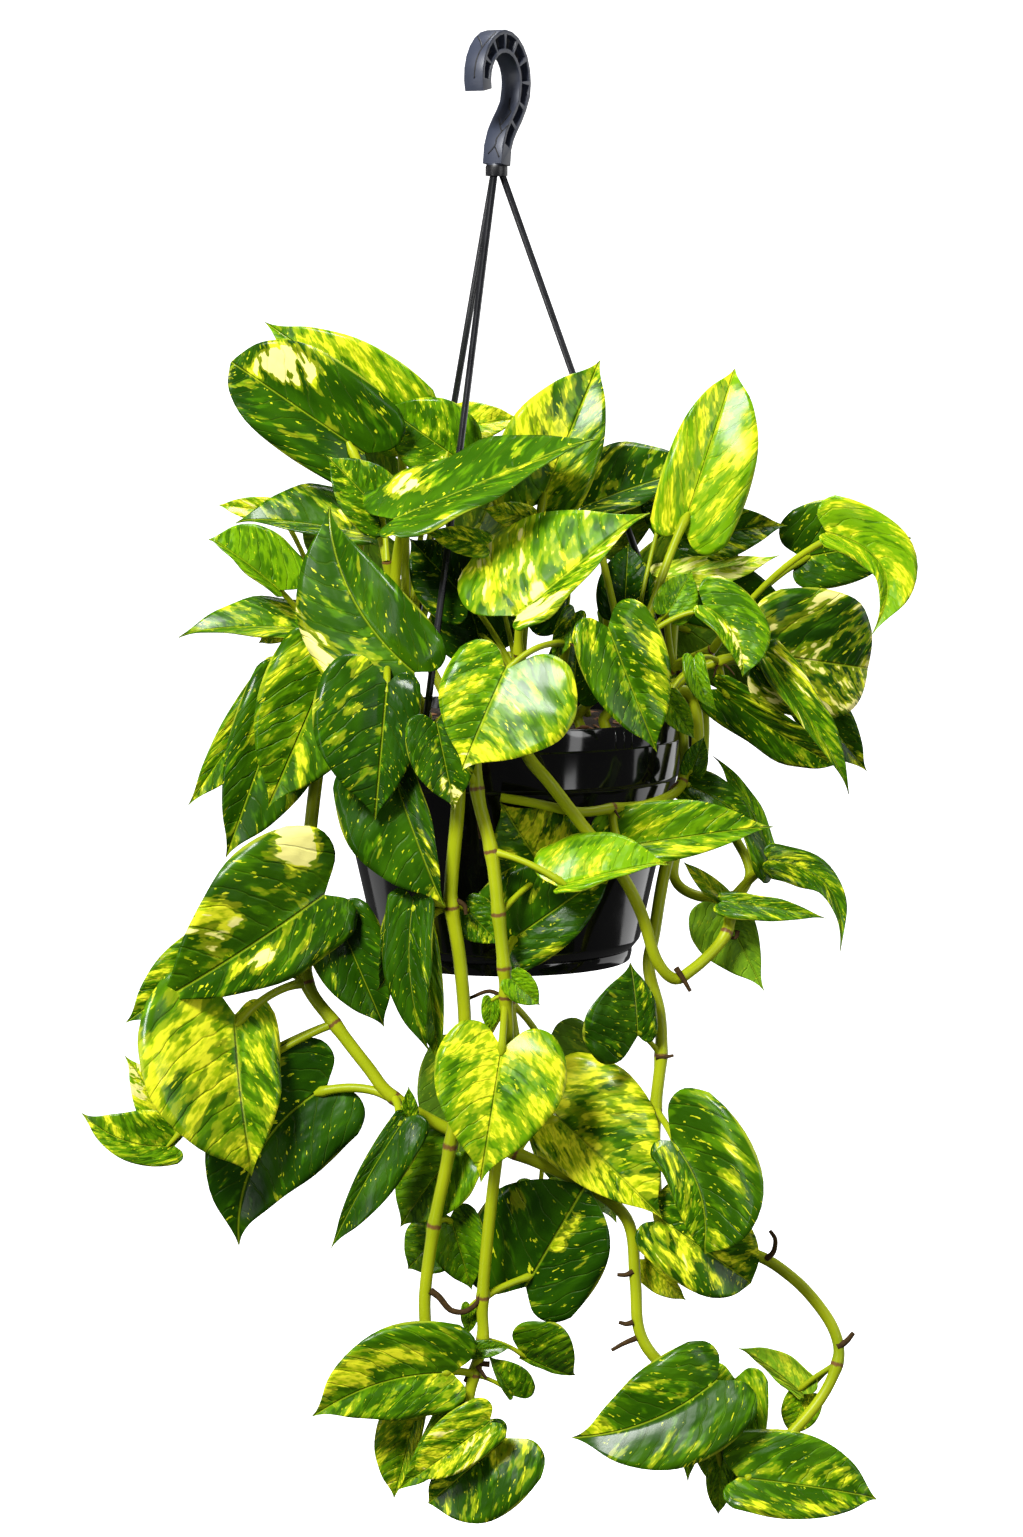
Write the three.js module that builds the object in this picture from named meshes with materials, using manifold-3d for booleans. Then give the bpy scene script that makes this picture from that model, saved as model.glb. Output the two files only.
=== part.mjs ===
// A golden pothos in a black plastic hanging pot.
//
// Millimetres, +Z up. The origin is the saddle of the hook, the spot inside its crown that hangs on
// a rail. The plant is seen from the front along +Y, with +X to the right.

import * as THREE from "three";
import { mergeVertices } from "three/addons/utils/BufferGeometryUtils.js";
import Module from "manifold-3d";

const wasm = await Module();
wasm.setup();
const { Manifold, Mesh: SolidMesh } = wasm;

// Driving dimensions of the pot and its saucer. Drops are measured down from the rim's top.
const POT_AXIS_X = 5.6;
const RIM_TOP = -357.8;
const RIM_RADIUS = 99.5;
const BAND_DROP = 12.2;
const UPPER_RADIUS = 95;
const LEDGE_DROP = 33;
const LEDGE_STEP = 1.5;
const CHAMFER_DROP = 124;
const CHAMFER_RADIUS = 73.5;
const BASE_DROP = 129;
const BASE_RADIUS = 69.5;
const SAUCER_DROP = 136.1;
const SAUCER_RADIUS = 68;
const SAUCER_WALL = 2;
const SAUCER_LIP = 4;
const WALL = 2.3;
const SOIL_DROP = 5.5;
const GAP = 0.3;
const ROUND = 36;
const LEAST_CORNER = 0.05;

// Driving dimensions of the hanger.
const HOOK_INSIDE = 15.4;
const HOOK_CROWN = 12.2;
const HOOK_TIP = 9;
const HOOK_WIDTH = 11.5;
const HOOK_START = -15;
const HOOK_END = 195;
const HOOK_STEP = 15;
const HOOK_LIMB_STEPS = 6;
const HOOK_RAIL = 2.2;
const HOOK_WEB = 3.5;
const HOOK_RIB_SHARE = 0.14;
const HOOK_TURN = 60;
const HOOK_FOOT_Z = -60;
const COLLAR_DROP = 6;
const COLLAR_RADIUS = 6;
const COLLAR_ROUND = 1.5;
const STRAP_RADIUS = 1.9;
const STRAP_SPREAD = 2.4;
const STRAP_SIDES = 8;
const CLIP_WIDTH = 11;
const CLIP_HEIGHT = 20;
const CLIP_THICKNESS = 3.6;
const CLIP_BEVEL = 2;
const CLIP_LIP = 2.4;
const CLIP_PLAY = 1.6;
const CLIP_OVER_SOIL = 1.3;
const CLIP_ANGLES = { right: 5, back_left: 125, front_left: 245 };

// Driving dimensions of the plant.
const STEM_SIDES = 5;
const HOLE_CLEARANCE = 0.9;
const PETIOLE_SIDES = 3;
const PETIOLE_BASE = 0.8;
const PETIOLE_PER_LENGTH = 0.021;
const PETIOLE_RISE = 0.16;
const PETIOLE_BEND = 0.55;
const PETIOLE_STEP = 22;
const PETIOLE_END = 0.06;
const BLADE_THICKNESS = 1.7;
const LEAST_FORESHORTENING = 0.4;
const FOOT_DEPTH = 18;
const FOOT_COVER = 2;
const FOOT_RISE = 9;

// The leaves and stems are placed as they are seen from the front. A place is written as x and z in
// the upright plane through the pot's axis, then how far it stands in front of that plane. It is
// slid along the line of sight, so that it keeps its place in the front view at any depth.
const EYE = new THREE.Vector3(8.1, -2384.6, -117.3);

function seen([x, z, depth]) {
  const nearer = (EYE.y + depth) / EYE.y;
  return new THREE.Vector3(
    EYE.x + (x - EYE.x) * nearer,
    -depth,
    EYE.z + (z - EYE.z) * nearer,
  );
}

// One half of a heart-shaped blade, from the notch at the petiole to the drip tip: places across it
// as shares of its half width, and along it as shares of its length. The lobes behind the notch
// reach back by shares of the half width.
const MARGIN = [
  [0.34, -0.32], [0.7, -0.28], [0.96, 0.07], [1, 0.28], [0.88, 0.5], [0.53, 0.73], [0.15, 0.89],
];
const RIB = [0.1, 0.3, 0.52, 0.76];

// Each vine: its foot in the soil (x and depth), the points of its stem, and its leaves. A vine with
// a turn is written as seen from another side of the pot. A leaf has the number of the stem point
// that its petiole grows from, counting the three points of the foot, then the places of its base and
// its tip, and the widths of its left and right halves as they are seen, as shares of its length.
// Then come, in degrees, how far its face is rolled about the midrib and how far each half is folded
// up. Two numbers bow the midrib, as shares of its length: up out of the blade's plane, and to the
// blade's right. A last one, where it is there, moves the widest place towards the tip.
const VINES = [
  {
    name: "vine_front_left", turn: 0, foot: [-24, 62], radius: 4,
    stem: [[-26, -345, 90], [-24, -358, 106], [-21, -400, 113], [-25, -450, 112], [-25, -466, 111],
      [-20, -500, 108], [-18, -545, 103], [-26, -600, 98], [-35, -645, 94], [-40, -682, 92],
      [-40, -703, 92]],
    leaves: [
      [4, [-57, -390, 114], [-29, -466, 121], [0.14, 0.47], 15, 14, 0.05, 0],
      [7, [-46, -462, 115], [-38, -548, 117], [0.14, 0.18], 20, 20, 0.06, 0.05],
      [7, [-49, -462, 104], [-66, -514, 102], [0.25, 0.19], -25, 15, 0.1, 0],
      [10, [-24, -604, 82], [-54, -646, 76], [0.39, 0.42], 15, 8, 0.05, 0],
      [11, [-26, -640, 80], [-14, -682, 74], [0.35, 0.35], 0, 8, 0.05, 0],
      [11, [-30, -650, 66], [-50, -670, 58], [0.52, 0.55], 10, 8, 0.05, 0],
      [7, [-17, -467, 100], [2, -487, 102], [0.45, 0.45], 0, 8, 0.05, 0],
      [7, [-43, -472, 106], [-31, -558, 108], [0.10, 0.16], 0, 12, 0.05, 0],
    ],
  },
  {
    name: "vine_front", turn: 0, foot: [-6, 70], radius: 3.8,
    stem: [[-10, -345, 94], [-12, -360, 107], [-11, -400, 111], [-3, -435, 113], [1, -470, 114],
      [4, -500, 114], [5, -516, 112], [6, -550, 104], [2, -590, 98], [-4, -640, 94],
      [-8, -686, 92], [-8, -710, 92], [-13, -730, 93], [-17, -748, 94]],
    leaves: [
      [5, [-33, -364, 135], [-23, -412, 136], [0.39, 0.39], 0, 12, 0.05, 0],
      [6, [34, -455, 123], [95, -441, 120], [0.42, 0.06], -45, 20, 0.03, 0],
      [8, [6, -486, 94], [67, -443, 90], [0.45, 0.27], 0, 12, 0.05, 0],
      [9, [3, -545, 114], [-9, -621, 125], [0.50, 0.47], 0, 10, 0.06, 0, -0.3],
      [9, [8, -506, 119], [24, -521, 116], [0.39, 0.39], 0, 12, 0.05, 0],
      [9, [-3, -517, 110], [-4, -536, 106], [0.27, 0.27], 0, 12, 0.05, 0],
      [13, [16, -680, 76], [50, -621, 91], [0.60, 0.46], 0, 4, 0, 0, 0.6],
      [13, [-15, -690, 88], [-16, -707, 86], [0.29, 0.29], 0, 12, 0.05, 0],
      [14, [-15, -716, 96], [9, -714, 100], [0.22, 0.22], 0, 12, 0.05, 0],
      [14, [14, -719, 80], [44, -731, 76], [0.70, 0.08], 30, 15, 0.05, 0],
      [15, [9, -742, 90], [-5, -719, 96], [0.12, 0.50], 0, 14, 0.05, 0],
      [15, [-25, -729, 104], [-104, -755, 108], [0.29, 0.35], -15, 14, 0.05, 0.1],
      [16, [-45, -752, 86], [-58, -802, 86], [0.12, 0.38], 0, 12, 0.05, 0],
      [16, [-22, -748, 97], [-57, -797, 98], [0.19, 0.19], 0, 16, 0.05, -0.08],
      [16, [-4, -757, 108], [-48, -790, 110], [0.25, 0.32], -10, 14, 0.05, 0, 0.3],
      [16, [5, -766, 96], [-39, -804, 96], [0.56, 0.25], 0, 12, 0.05, 0, 0.6],
      [7, [29, -451, 88], [2, -408, 97], [0.50, 0.60], 0, 8, 0.03, 0],
    ],
  },
  {
    name: "vine_front_right", turn: 0, foot: [18, 66], radius: 3.6,
    stem: [[14, -345, 92], [13, -358, 106], [16, -380, 111], [30, -398, 112], [46, -419, 105],
      [68, -447, 101], [80, -470, 98], [88, -495, 94], [98, -506, 88], [108, -501, 82],
      [120, -490, 76], [127, -480, 71], [129, -471, 68]],
    leaves: [
      [15, [124, -465, 66], [148, -513, 62], [0.42, 0.24], 180, -8, 0.05, 0, -0.3],
      [15, [124, -463, 76], [182, -472, 80], [0.11, 0.14], -20, 16, 0.05, 0],
      [14, [128, -464, 58], [102, -440, 54], [0.16, 0.16], 0, 16, 0.1, 0],
    ],
  },
  {
    name: "vine_right_long", turn: 0, foot: [74, 18], radius: 3.6,
    stem: [[102, -346, 20], [110, -362, 22], [108, -400, 32], [94, -440, 50], [87, -480, 62],
      [84, -500, 68], [90, -525, 72], [91, -549, 75], [88, -580, 79], [88, -615, 80],
      [92, -645, 79], [110, -659, 76], [142, -661, 74], [165, -675, 74], [182, -694, 76],
      [190, -710, 78], [190, -724, 80], [182, -742, 84], [168, -760, 90], [150, -778, 95],
      [141, -787, 98]],
    leaves: [
      [10, [78, -538, 86], [74, -497, 88], [0.72, 0.28], 20, 12, 0.05, 0],
      [11, [97, -597, 106], [115, -662, 116], [0.54, 0.24], 20, 16, 0.05, -0.14, 0.5],
      [13, [92, -642, 90], [142, -678, 90], [0.45, 0.38], 0, 12, 0.06, 0, 0.8],
      [13, [82, -664, 66], [106, -688, 62], [0.15, 0.30], 0, 12, 0.06, 0],
      [19, [171, -741, 74], [135, -714, 68], [0.28, 0.08], 150, 16, 0.06, 0],
      [19, [173, -742, 66], [164, -764, 60], [0.42, 0.42], 0, 12, 0.08, 0],
      [23, [135, -789, 102], [214, -801, 100], [0.37, 0.235], -12, 12, 0.05, 0, 0.3],
    ],
  },
  {
    name: "vine_left_long", turn: 0, foot: [-52, 34], radius: 3.8,
    stem: [[-86, -346, 52], [-94, -362, 58], [-100, -400, 62], [-104, -440, 66], [-104, -478, 72],
      [-105, -508, 76], [-90, -531, 80], [-72, -555, 83], [-57, -573, 85], [-24, -592, 83],
      [10, -604, 82], [45, -620, 81], [72, -641, 81], [77, -675, 82], [79, -703, 84],
      [88, -720, 86], [105, -734, 88], [117, -741, 90]],
    leaves: [
      [7, [-95, -459, 98], [-192, -522, 112], [0.255, 0.405], -15, 12, 0.06, 0, -0.3],
      [8, [-150, -490, 74], [-206, -531, 80], [0.29, 0.29], 0, 12, 0.05, 0],
      [8, [-145, -526, 92], [-135, -618, 104], [0.27, 0.58], -20, 14, 0.06, 0.04],
      [9, [-180, -592, 70], [-206, -549, 72], [0.25, 0.25], 20, 14, 0.05, 0],
      [9, [-179, -600, 88], [-231, -581, 92], [0.20, 0.36], 0, 12, 0.05, -0.12],
      [7, [-88, -472, 88], [-62, -534, 88], [0.30, 0.34], 0, 12, 0.05, 0],
      [11, [-94, -566, 74], [-144, -658, 76], [0.33, 0.33], 0, 12, 0.05, 0.15],
      [11, [-51, -584, 103], [-93, -659, 104], [0.20, 0.08], 0, 20, 0.05, 0.02],
      [11, [-48, -586, 98], [-49, -566, 100], [0.24, 0.24], 0, 12, 0.05, 0],
      [13, [30, -581, 72], [92, -641, 98], [0.52, 0.24], -8, 14, 0.05, 0],
      [20, [123, -733, 98], [41, -766, 100], [0.37, 0.33], 0, 12, 0.05, -0.085],
      [20, [121, -745, 99], [107, -793, 100], [0.14, 0.14], 0, 20, 0.05, 0.08],
      [20, [133, -732, 75], [127, -799, 73], [0.30, 0.33], 0, 12, 0.06, 0, 0.4],
      [20, [125, -780, 78], [124, -811, 74], [0.24, 0.24], 0, 12, 0.05, 0],
    ],
  },
  {
    name: "vine_across", turn: 0, foot: [60, 42], radius: 3,
    stem: [[92, -344, 42], [101, -360, 46], [102, -396, 50], [86, -408, 70], [64, -411, 90],
      [45, -413, 98], [20, -408, 104], [2, -405, 105]],
    leaves: [
      [5, [103, -398, 44], [143, -424, 54], [0.25, 0.20], -20, 18, 0.2, 0],
      [5, [107, -391, 52], [114, -371, 54], [0.34, 0.34], 0, 14, 0.05, 0],
      [7, [62, -434, 90], [153, -421, 84], [0.25, 0.13], -12, 14, 0.05, 0],
    ],
  },
  {
    name: "vine_side_right", turn: 0, foot: [80, -20], radius: 3.2,
    stem: [[108, -340, -24], [114, -362, -22], [111, -400, 4], [99, -436, 28], [99, -452, 34],
      [112, -460, 38], [131, -460, 40], [139, -450, 36], [138, -440, 30], [131, -427, 22]],
    leaves: [
      [9, [152, -446, 42], [120, -381, 36], [0.13, 0.09], 30, 20, 0.05, 0.04],
      [9, [150, -440, 50], [190, -491, 54], [0.16, 0.12], -35, 24, 0.06, -0.27, -0.4],
    ],
  },
  {
    name: "crown_left", turn: 0, foot: [-38, 44], radius: 3,
    stem: [[-50, -335, 52], [-56, -300, 60], [-60, -275, 66]],
    leaves: [
      [5, [-61, -251, 56], [-93, -217, 53], [0.33, 0.40], 10, 14, 0.05, 0],
      [4, [-56, -252, 81], [54, -206, 78], [0.205, 0.10], -60, 10, 0, 0],
      [4, [-72, -216, 40], [-145, -166, 48], [0.28, 0.38], 0, 12, 0.05, 0, 0.9],
      [3, [-24, -217, 28], [-62, -190, 24], [0.42, 0.52], 0, 12, 0.05, 0],
      [3, [-48, -199, 0], [-127, -144, -8], [0.25, 0.25], 0, 14, 0.05, 0],
      [3, [-34, -206, 10], [14, -197, 6], [0.29, 0.22], -30, 14, 0.05, 0],
    ],
  },
  {
    name: "crown_far_left", turn: 0, foot: [-66, 10], radius: 2.8,
    stem: [[-84, -335, 22], [-95, -325, 34]],
    leaves: [
      [3, [-69, -261, 34], [-143, -252, 30], [0.07, 0.33], 45, 20, 0.04, 0],
      [3, [-116, -248, 4], [-153, -244, 0], [0.19, 0.19], 0, 14, 0.05, 0],
      [4, [-119, -291, 62], [-157, -262, 64], [0.07, 0.50], 40, 25, 0.03, 0, 0.5],
      [4, [-92, -314, 52], [-175, -315, 54], [0.06, 0.22], 45, 20, 0.06, 0],
      [4, [-112, -309, 34], [-131, -320, 32], [0.29, 0.29], 0, 12, 0.05, 0],
    ],
  },
  {
    name: "crown_left_front", turn: 0, foot: [-46, 58], radius: 3,
    stem: [[-54, -340, 82], [-60, -332, 98]],
    leaves: [
      [4, [-45, -336, 108], [-92, -244, 82], [0.36, 0.24], -15, 12, 0.04, -0.1],
      [4, [-60, -342, 123], [-67, -418, 128], [0.26, 0.52], 0, 12, 0.05, 0],
      [3, [-89, -326, 91], [-126, -411, 87], [0.35, 0.33], 0, 12, 0.05, 0],
    ],
  },
  {
    name: "crown_left_low", turn: 0, foot: [-70, -8], radius: 2.8,
    stem: [[-98, -340, 10], [-108, -345, 24]],
    leaves: [
      [4, [-114, -340, 56], [-150, -440, 60], [0.31, 0.20], 0, 14, 0.06, 0],
      [3, [-118, -334, 8], [-171, -411, 8], [0.20, 0.12], 0, 12, 0.05, 0],
    ],
  },
  {
    name: "crown_centre", turn: 0, foot: [10, 46], radius: 3,
    stem: [[12, -340, 66], [12, -325, 84]],
    leaves: [
      [4, [11, -305, 96], [82, -246, 88], [0.48, 0.10], -45, 12, 0, 0, -0.3],
      [3, [24, -243, 44], [57, -164, 30], [0.39, 0.25], 0, 14, 0.06, 0],
      [3, [-6, -266, 78], [-39, -259, 76], [0.24, 0.24], 0, 14, 0.05, 0],
      [3, [18, -252, 56], [-8, -246, 60], [0.29, 0.29], 0, 14, 0.05, 0],
      [3, [-9, -318, 30], [-23, -274, 24], [0.5, 0.5], 0, 12, 0.05, 0],
      [3, [-16, -296, 58], [-48, -262, 48], [0.42, 0.42], 0, 12, 0.05, 0],
      [3, [14, -306, 44], [20, -252, 30], [0.45, 0.45], 0, 12, 0.05, 0],
      [3, [42, -348, 38], [46, -302, 30], [0.36, 0.36], 0, 12, 0.05, 0],
    ],
  },
  {
    name: "crown_right", turn: 0, foot: [46, 26], radius: 3,
    stem: [[72, -335, 50], [80, -318, 60]],
    leaves: [
      [4, [102, -257, 36], [130, -169, 22], [0.22, 0.30], 0, 14, 0.05, 0, 0.4],
      [4, [113, -299, 64], [135, -338, 78], [0.45, 0.17], -25, 16, 0.05, -0.15, 0.5],
      [3, [46, -246, 28], [115, -224, 14], [0.38, 0.12], -40, 18, 0.04, 0],
      [3, [94, -238, 12], [87, -264, 22], [0.50, 0.50], 0, 14, 0.05, 0],
      [3, [94, -303, 58], [107, -280, 50], [0.40, 0.45], 0, 10, 0.04, 0],
      [3, [70, -302, 30], [72, -264, 24], [0.42, 0.42], 0, 12, 0.05, 0],
    ],
  },
  {
    name: "crown_far_right", turn: 0, foot: [76, -2], radius: 3.4,
    stem: [[96, -334, 8], [118, -324, 16]],
    leaves: [
      [4, [180, -259, 42], [206, -315, 54], [0.36, 0.12], -30, 20, 0.06, -0.34],
      [4, [167, -273, 0], [228, -262, -10], [0.46, 0.30], 0, 12, 0.05, 0],
      [3, [102, -263, 8], [159, -255, 14], [0.26, 0.26], -20, 14, 0.05, 0],
      [3, [88, -284, 28], [155, -272, 30], [0.15, 0.12], 160, 16, 0.05, 0],
      [3, [97, -286, 12], [165, -304, 4], [0.29, 0.29], 0, 12, 0.05, 0],
    ],
  },
  {
    name: "crown_front", turn: 0, foot: [34, 56], radius: 3,
    stem: [[36, -335, 76], [38, -320, 88]],
    leaves: [
      [4, [61, -311, 100], [88, -380, 106], [0.35, 0.30], 0, 24, 0.05, 0],
      [4, [5, -334, 137], [-19, -390, 148], [0.74, 0.50], 10, 8, 0.04, 0],
      [4, [43, -303, 88], [30, -331, 92], [0.23, 0.23], 0, 20, 0.05, 0],
    ],
  },
  {
    name: "crown_right_low", turn: 0, foot: [84, 32], radius: 3.2,
    stem: [[106, -336, 34], [122, -330, 36]],
    leaves: [
      [4, [148, -326, 32], [204, -334, -4], [0.57, 0.45], 0, 12, 0.05, 0, 0.8],
      [4, [121, -345, 30], [189, -388, 26], [0.12, 0.19], 35, 14, 0.05, 0, 0.5],
      [4, [147, -326, 48], [196, -403, 56], [0.14, 0.06], -30, 20, 0.04, 0],
      [4, [168, -345, -6], [204, -391, -10], [0.24, 0.24], 0, 12, 0.05, 0],
      [4, [108, -328, 60], [122, -358, 66], [0.20, 0.20], 0, 20, 0.08, 0.1],
      [3, [93, -350, 62], [109, -373, 68], [0.29, 0.29], 0, 14, 0.05, 0],
    ],
  },
  {
    name: "crown_back_left", turn: 205, foot: [20, 50], radius: 3,
    stem: [[26, -335, 72], [34, -320, 84]],
    leaves: [
      [4, [40, -296, 92], [98, -262, 84], [0.32, 0.26], -20, 16, 0.08, 0],
      [4, [30, -306, 102], [12, -374, 120], [0.36, 0.36], 0, 14, 0.1, 0],
      [3, [-4, -266, 60], [-36, -202, 46], [0.29, 0.32], 10, 16, 0.06, 0],
      [3, [52, -250, 52], [92, -200, 44], [0.30, 0.27], -10, 16, 0.08, 0],
      [4, [62, -318, 88], [110, -352, 82], [0.32, 0.32], 0, 16, 0.15, 0],
    ],
  },
  {
    name: "crown_back_right", turn: 155, foot: [-20, 50], radius: 3,
    stem: [[-24, -335, 72], [-32, -322, 84]],
    leaves: [
      [4, [-44, -300, 92], [-106, -268, 80], [0.27, 0.32], 15, 16, 0.08, 0],
      [4, [-26, -318, 104], [-38, -390, 120], [0.37, 0.37], 0, 14, 0.1, 0],
      [3, [-30, -268, 46], [-70, -228, 32], [0.29, 0.30], 5, 16, 0.06, 0],
      [4, [-66, -322, 86], [-118, -362, 80], [0.33, 0.33], 0, 14, 0.12, 0],
    ],
  },
  {
    name: "vine_back", turn: 180, foot: [2, 70], radius: 3.6,
    stem: [[4, -345, 94], [6, -358, 107], [6, -400, 110], [6, -450, 106], [6, -500, 98],
      [4, -550, 88], [-6, -600, 80], [-16, -640, 76]],
    leaves: [
      [5, [34, -388, 114], [52, -450, 118], [0.37, 0.37], 0, 14, 0.06, 0],
      [6, [24, -452, 112], [40, -496, 110], [0.39, 0.39], 0, 12, 0.06, 0],
      [8, [-18, -578, 92], [-42, -650, 98], [0.42, 0.42], 0, 12, 0.05, 0],
      [8, [24, -582, 82], [38, -656, 86], [0.42, 0.42], 0, 12, 0.05, 0],
      [9, [-30, -618, 82], [-60, -682, 84], [0.40, 0.40], 0, 12, 0.05, 0],
      [10, [-14, -662, 86], [-16, -702, 90], [0.44, 0.44], 0, 12, 0.05, 0],
    ],
  },
  {
    name: "vine_back_short", turn: 180, foot: [-24, 62], radius: 3.2,
    stem: [[-27, -345, 90], [-28, -358, 104], [-28, -400, 106], [-34, -440, 104]],
    leaves: [
      [5, [-52, -388, 108], [-84, -442, 104], [0.38, 0.38], 0, 12, 0.06, 0],
      [6, [-20, -424, 116], [-14, -486, 118], [0.35, 0.35], 0, 12, 0.06, 0],
      [6, [-44, -456, 108], [-62, -494, 104], [0.39, 0.39], 0, 12, 0.06, 0],
    ],
  },
];

// Solids

function solidFrom(geometry) {
  geometry.deleteAttribute("normal");
  geometry.deleteAttribute("uv");
  const merged = mergeVertices(geometry, 1e-4);
  const triangles = [];
  for (let i = 0; i < merged.index.count; i += 3) {
    const [a, b, c] = [0, 1, 2].map((k) => merged.index.getX(i + k));
    if (a !== b && b !== c && a !== c) {
      triangles.push(a, b, c);
    }
  }
  return new Manifold(new SolidMesh({
    numProp: 3,
    vertProperties: new Float32Array(merged.attributes.position.array),
    triVerts: new Uint32Array(triangles),
  }));
}

function solidFromPoints(points, triangles) {
  return new Manifold(new SolidMesh({
    numProp: 3,
    vertProperties: new Float32Array(points.flatMap((p) => [p.x, p.y, p.z])),
    triVerts: new Uint32Array(triangles.flat()),
  }));
}

function geometryFrom(solid) {
  const { vertProperties, triVerts } = solid.simplify(LEAST_CORNER).getMesh();
  const geometry = new THREE.BufferGeometry();
  geometry.setAttribute("position", new THREE.BufferAttribute(vertProperties, 3));
  geometry.setIndex(new THREE.BufferAttribute(triVerts, 1));
  geometry.computeVertexNormals();
  return geometry;
}

// A round rod along a curve, with flat ends.
function rod(curve, radius, sides, steps) {
  const corners = [];
  for (let i = 0; i < sides; i += 1) {
    const angle = (2 * Math.PI * i) / sides;
    corners.push(new THREE.Vector2(radius * Math.cos(angle), radius * Math.sin(angle)));
  }
  const options = { steps, extrudePath: curve, bevelEnabled: false };
  return solidFrom(new THREE.ExtrudeGeometry(new THREE.Shape(corners), options));
}

function turnedAboutPot(point, degrees) {
  const axis = new THREE.Vector3(0, 0, 1);
  const centre = new THREE.Vector3(POT_AXIS_X, 0, 0);
  return point.sub(centre).applyAxisAngle(axis, THREE.MathUtils.degToRad(degrees)).add(centre);
}

// Leaves

// The frame of a blade: the way its midrib runs, the way its face looks, and its right-hand side.
// An unrolled blade shows as much of its face as it can to the viewer in front.
function bladeFrame(base, tip, roll) {
  const along = tip.clone().sub(base);
  const length = along.length();
  along.normalize();
  const up = EYE.clone().sub(base);
  up.addScaledVector(along, -up.dot(along)).normalize();
  up.applyAxisAngle(along, THREE.MathUtils.degToRad(roll));
  const right = along.clone().cross(up);
  return { base, length, along, up, right };
}

// The angle between a half of the blade and the picture's plane, and its true half width. The table
// gives the half widths as they are seen, so a half that is turned away is wider than it looks.
function bladeHalf(leaf, hand) {
  const [, , , widths, roll, fold] = leaf;
  const turned = THREE.MathUtils.degToRad(roll - hand * fold);
  const seenWidth = hand > 0 ? widths[1] : widths[0];
  return seenWidth / Math.max(Math.abs(Math.cos(turned)), LEAST_FORESHORTENING);
}

// A place on a blade: along the midrib in shares of its length, and across it in shares of the half
// width, with minus to the left. Behind the petiole the lobes go on straight.
function bladePoint(frame, leaf, across, v, raise) {
  const { base, length, along, up, right } = frame;
  const [, , , , , fold, arch, bow, blunt = 0] = leaf;
  const forward = Math.max(v, 0);
  const share = forward + blunt * forward * (1 - forward);
  const swell = 4 * share * (1 - share);
  const slope = 4 * (1 - 2 * share);
  const run = along.clone().addScaledVector(up, arch * slope).addScaledVector(right, bow * slope);
  run.normalize();
  const side = run.clone().cross(up).normalize();
  const face = side.clone().cross(run);
  const halfWidth = bladeHalf(leaf, Math.sign(across)) * length;
  const angle = THREE.MathUtils.degToRad(fold);
  return base.clone()
    .addScaledVector(along, share * length)
    .addScaledVector(up, arch * swell * length)
    .addScaledVector(right, bow * swell * length)
    .addScaledVector(run, Math.min(v, 0) * halfWidth)
    .addScaledVector(side, across * halfWidth * Math.cos(angle))
    .addScaledVector(face, Math.abs(across) * halfWidth * Math.sin(angle) + raise);
}

// Triangles between two rows of points that start and end together.
function bridge(first, second) {
  const triangles = [];
  let i = 0;
  let j = 0;
  while (i < first.length - 1 || j < second.length - 1) {
    const nextFirst = (i + 1) / (first.length - 1);
    const nextSecond = (j + 1) / (second.length - 1);
    const a = first[i];
    const b = second[j];
    let c;
    if (j === second.length - 1 || (i < first.length - 1 && nextFirst <= nextSecond)) {
      i += 1;
      c = first[i];
    } else {
      j += 1;
      c = second[j];
    }
    if (a !== b && b !== c && a !== c) {
      triangles.push([a, b, c]);
    }
  }
  return triangles;
}

// A blade is a thin lens: its two faces share the margin, and are furthest apart along the midrib.
function bladeSolid(frame, leaf) {
  const points = [];
  const add = (across, v, raise) => points.push(bladePoint(frame, leaf, across, v, raise)) - 1;
  const triangles = [];
  const notch = add(0, 0, 0);
  const tip = add(0, 1, 0);
  const margins = [1, -1].map((hand) => MARGIN.map(([across, v]) => add(hand * across, v, 0)));
  for (const face of [1, -1]) {
    const rib = RIB.map((v) => add(0, v, face * BLADE_THICKNESS / 2));
    [1, -1].forEach((hand, side) => {
      const strip = bridge([notch, ...rib, tip], [notch, ...margins[side], tip]);
      const flipped = face * hand > 0;
      triangles.push(...strip.map(([a, b, c]) => (flipped ? [a, b, c] : [a, c, b])));
    });
  }
  return solidFromPoints(points, triangles);
}

// A petiole leaves its stem, rises a little and comes down into the foot of its blade's midrib.
function petioleSolid(start, frame, leaf) {
  const { base, length } = frame;
  const span = base.distanceTo(start);
  const end = bladePoint(frame, leaf, 0, PETIOLE_END, 0);
  const bend = start.clone().lerp(base, PETIOLE_BEND);
  bend.z += PETIOLE_RISE * span;
  const curve = new THREE.QuadraticBezierCurve3(start, bend, end);
  const radius = PETIOLE_BASE + PETIOLE_PER_LENGTH * length;
  const steps = Math.min(4, Math.max(2, Math.round(span / PETIOLE_STEP)));
  return rod(curve, radius, PETIOLE_SIDES, steps);
}

// Vines

// A stem starts with three points of its foot, upright in the soil, and bends above it.
function vinePath({ foot, turn, stem }) {
  const soilTop = RIM_TOP - SOIL_DROP;
  const heights = [soilTop - FOOT_DEPTH, soilTop - FOOT_COVER, soilTop + FOOT_RISE];
  const points = heights.map((z) => new THREE.Vector3(foot[0], -foot[1], z));
  return [...points, ...stem.map(seen)].map((point) => turnedAboutPot(point, turn));
}

function stemCurve(path) {
  return new THREE.CatmullRomCurve3(path, false, "catmullrom", 0.5);
}

function stemRod(path, radius) {
  return rod(stemCurve(path), radius, STEM_SIDES, path.length);
}

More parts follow.
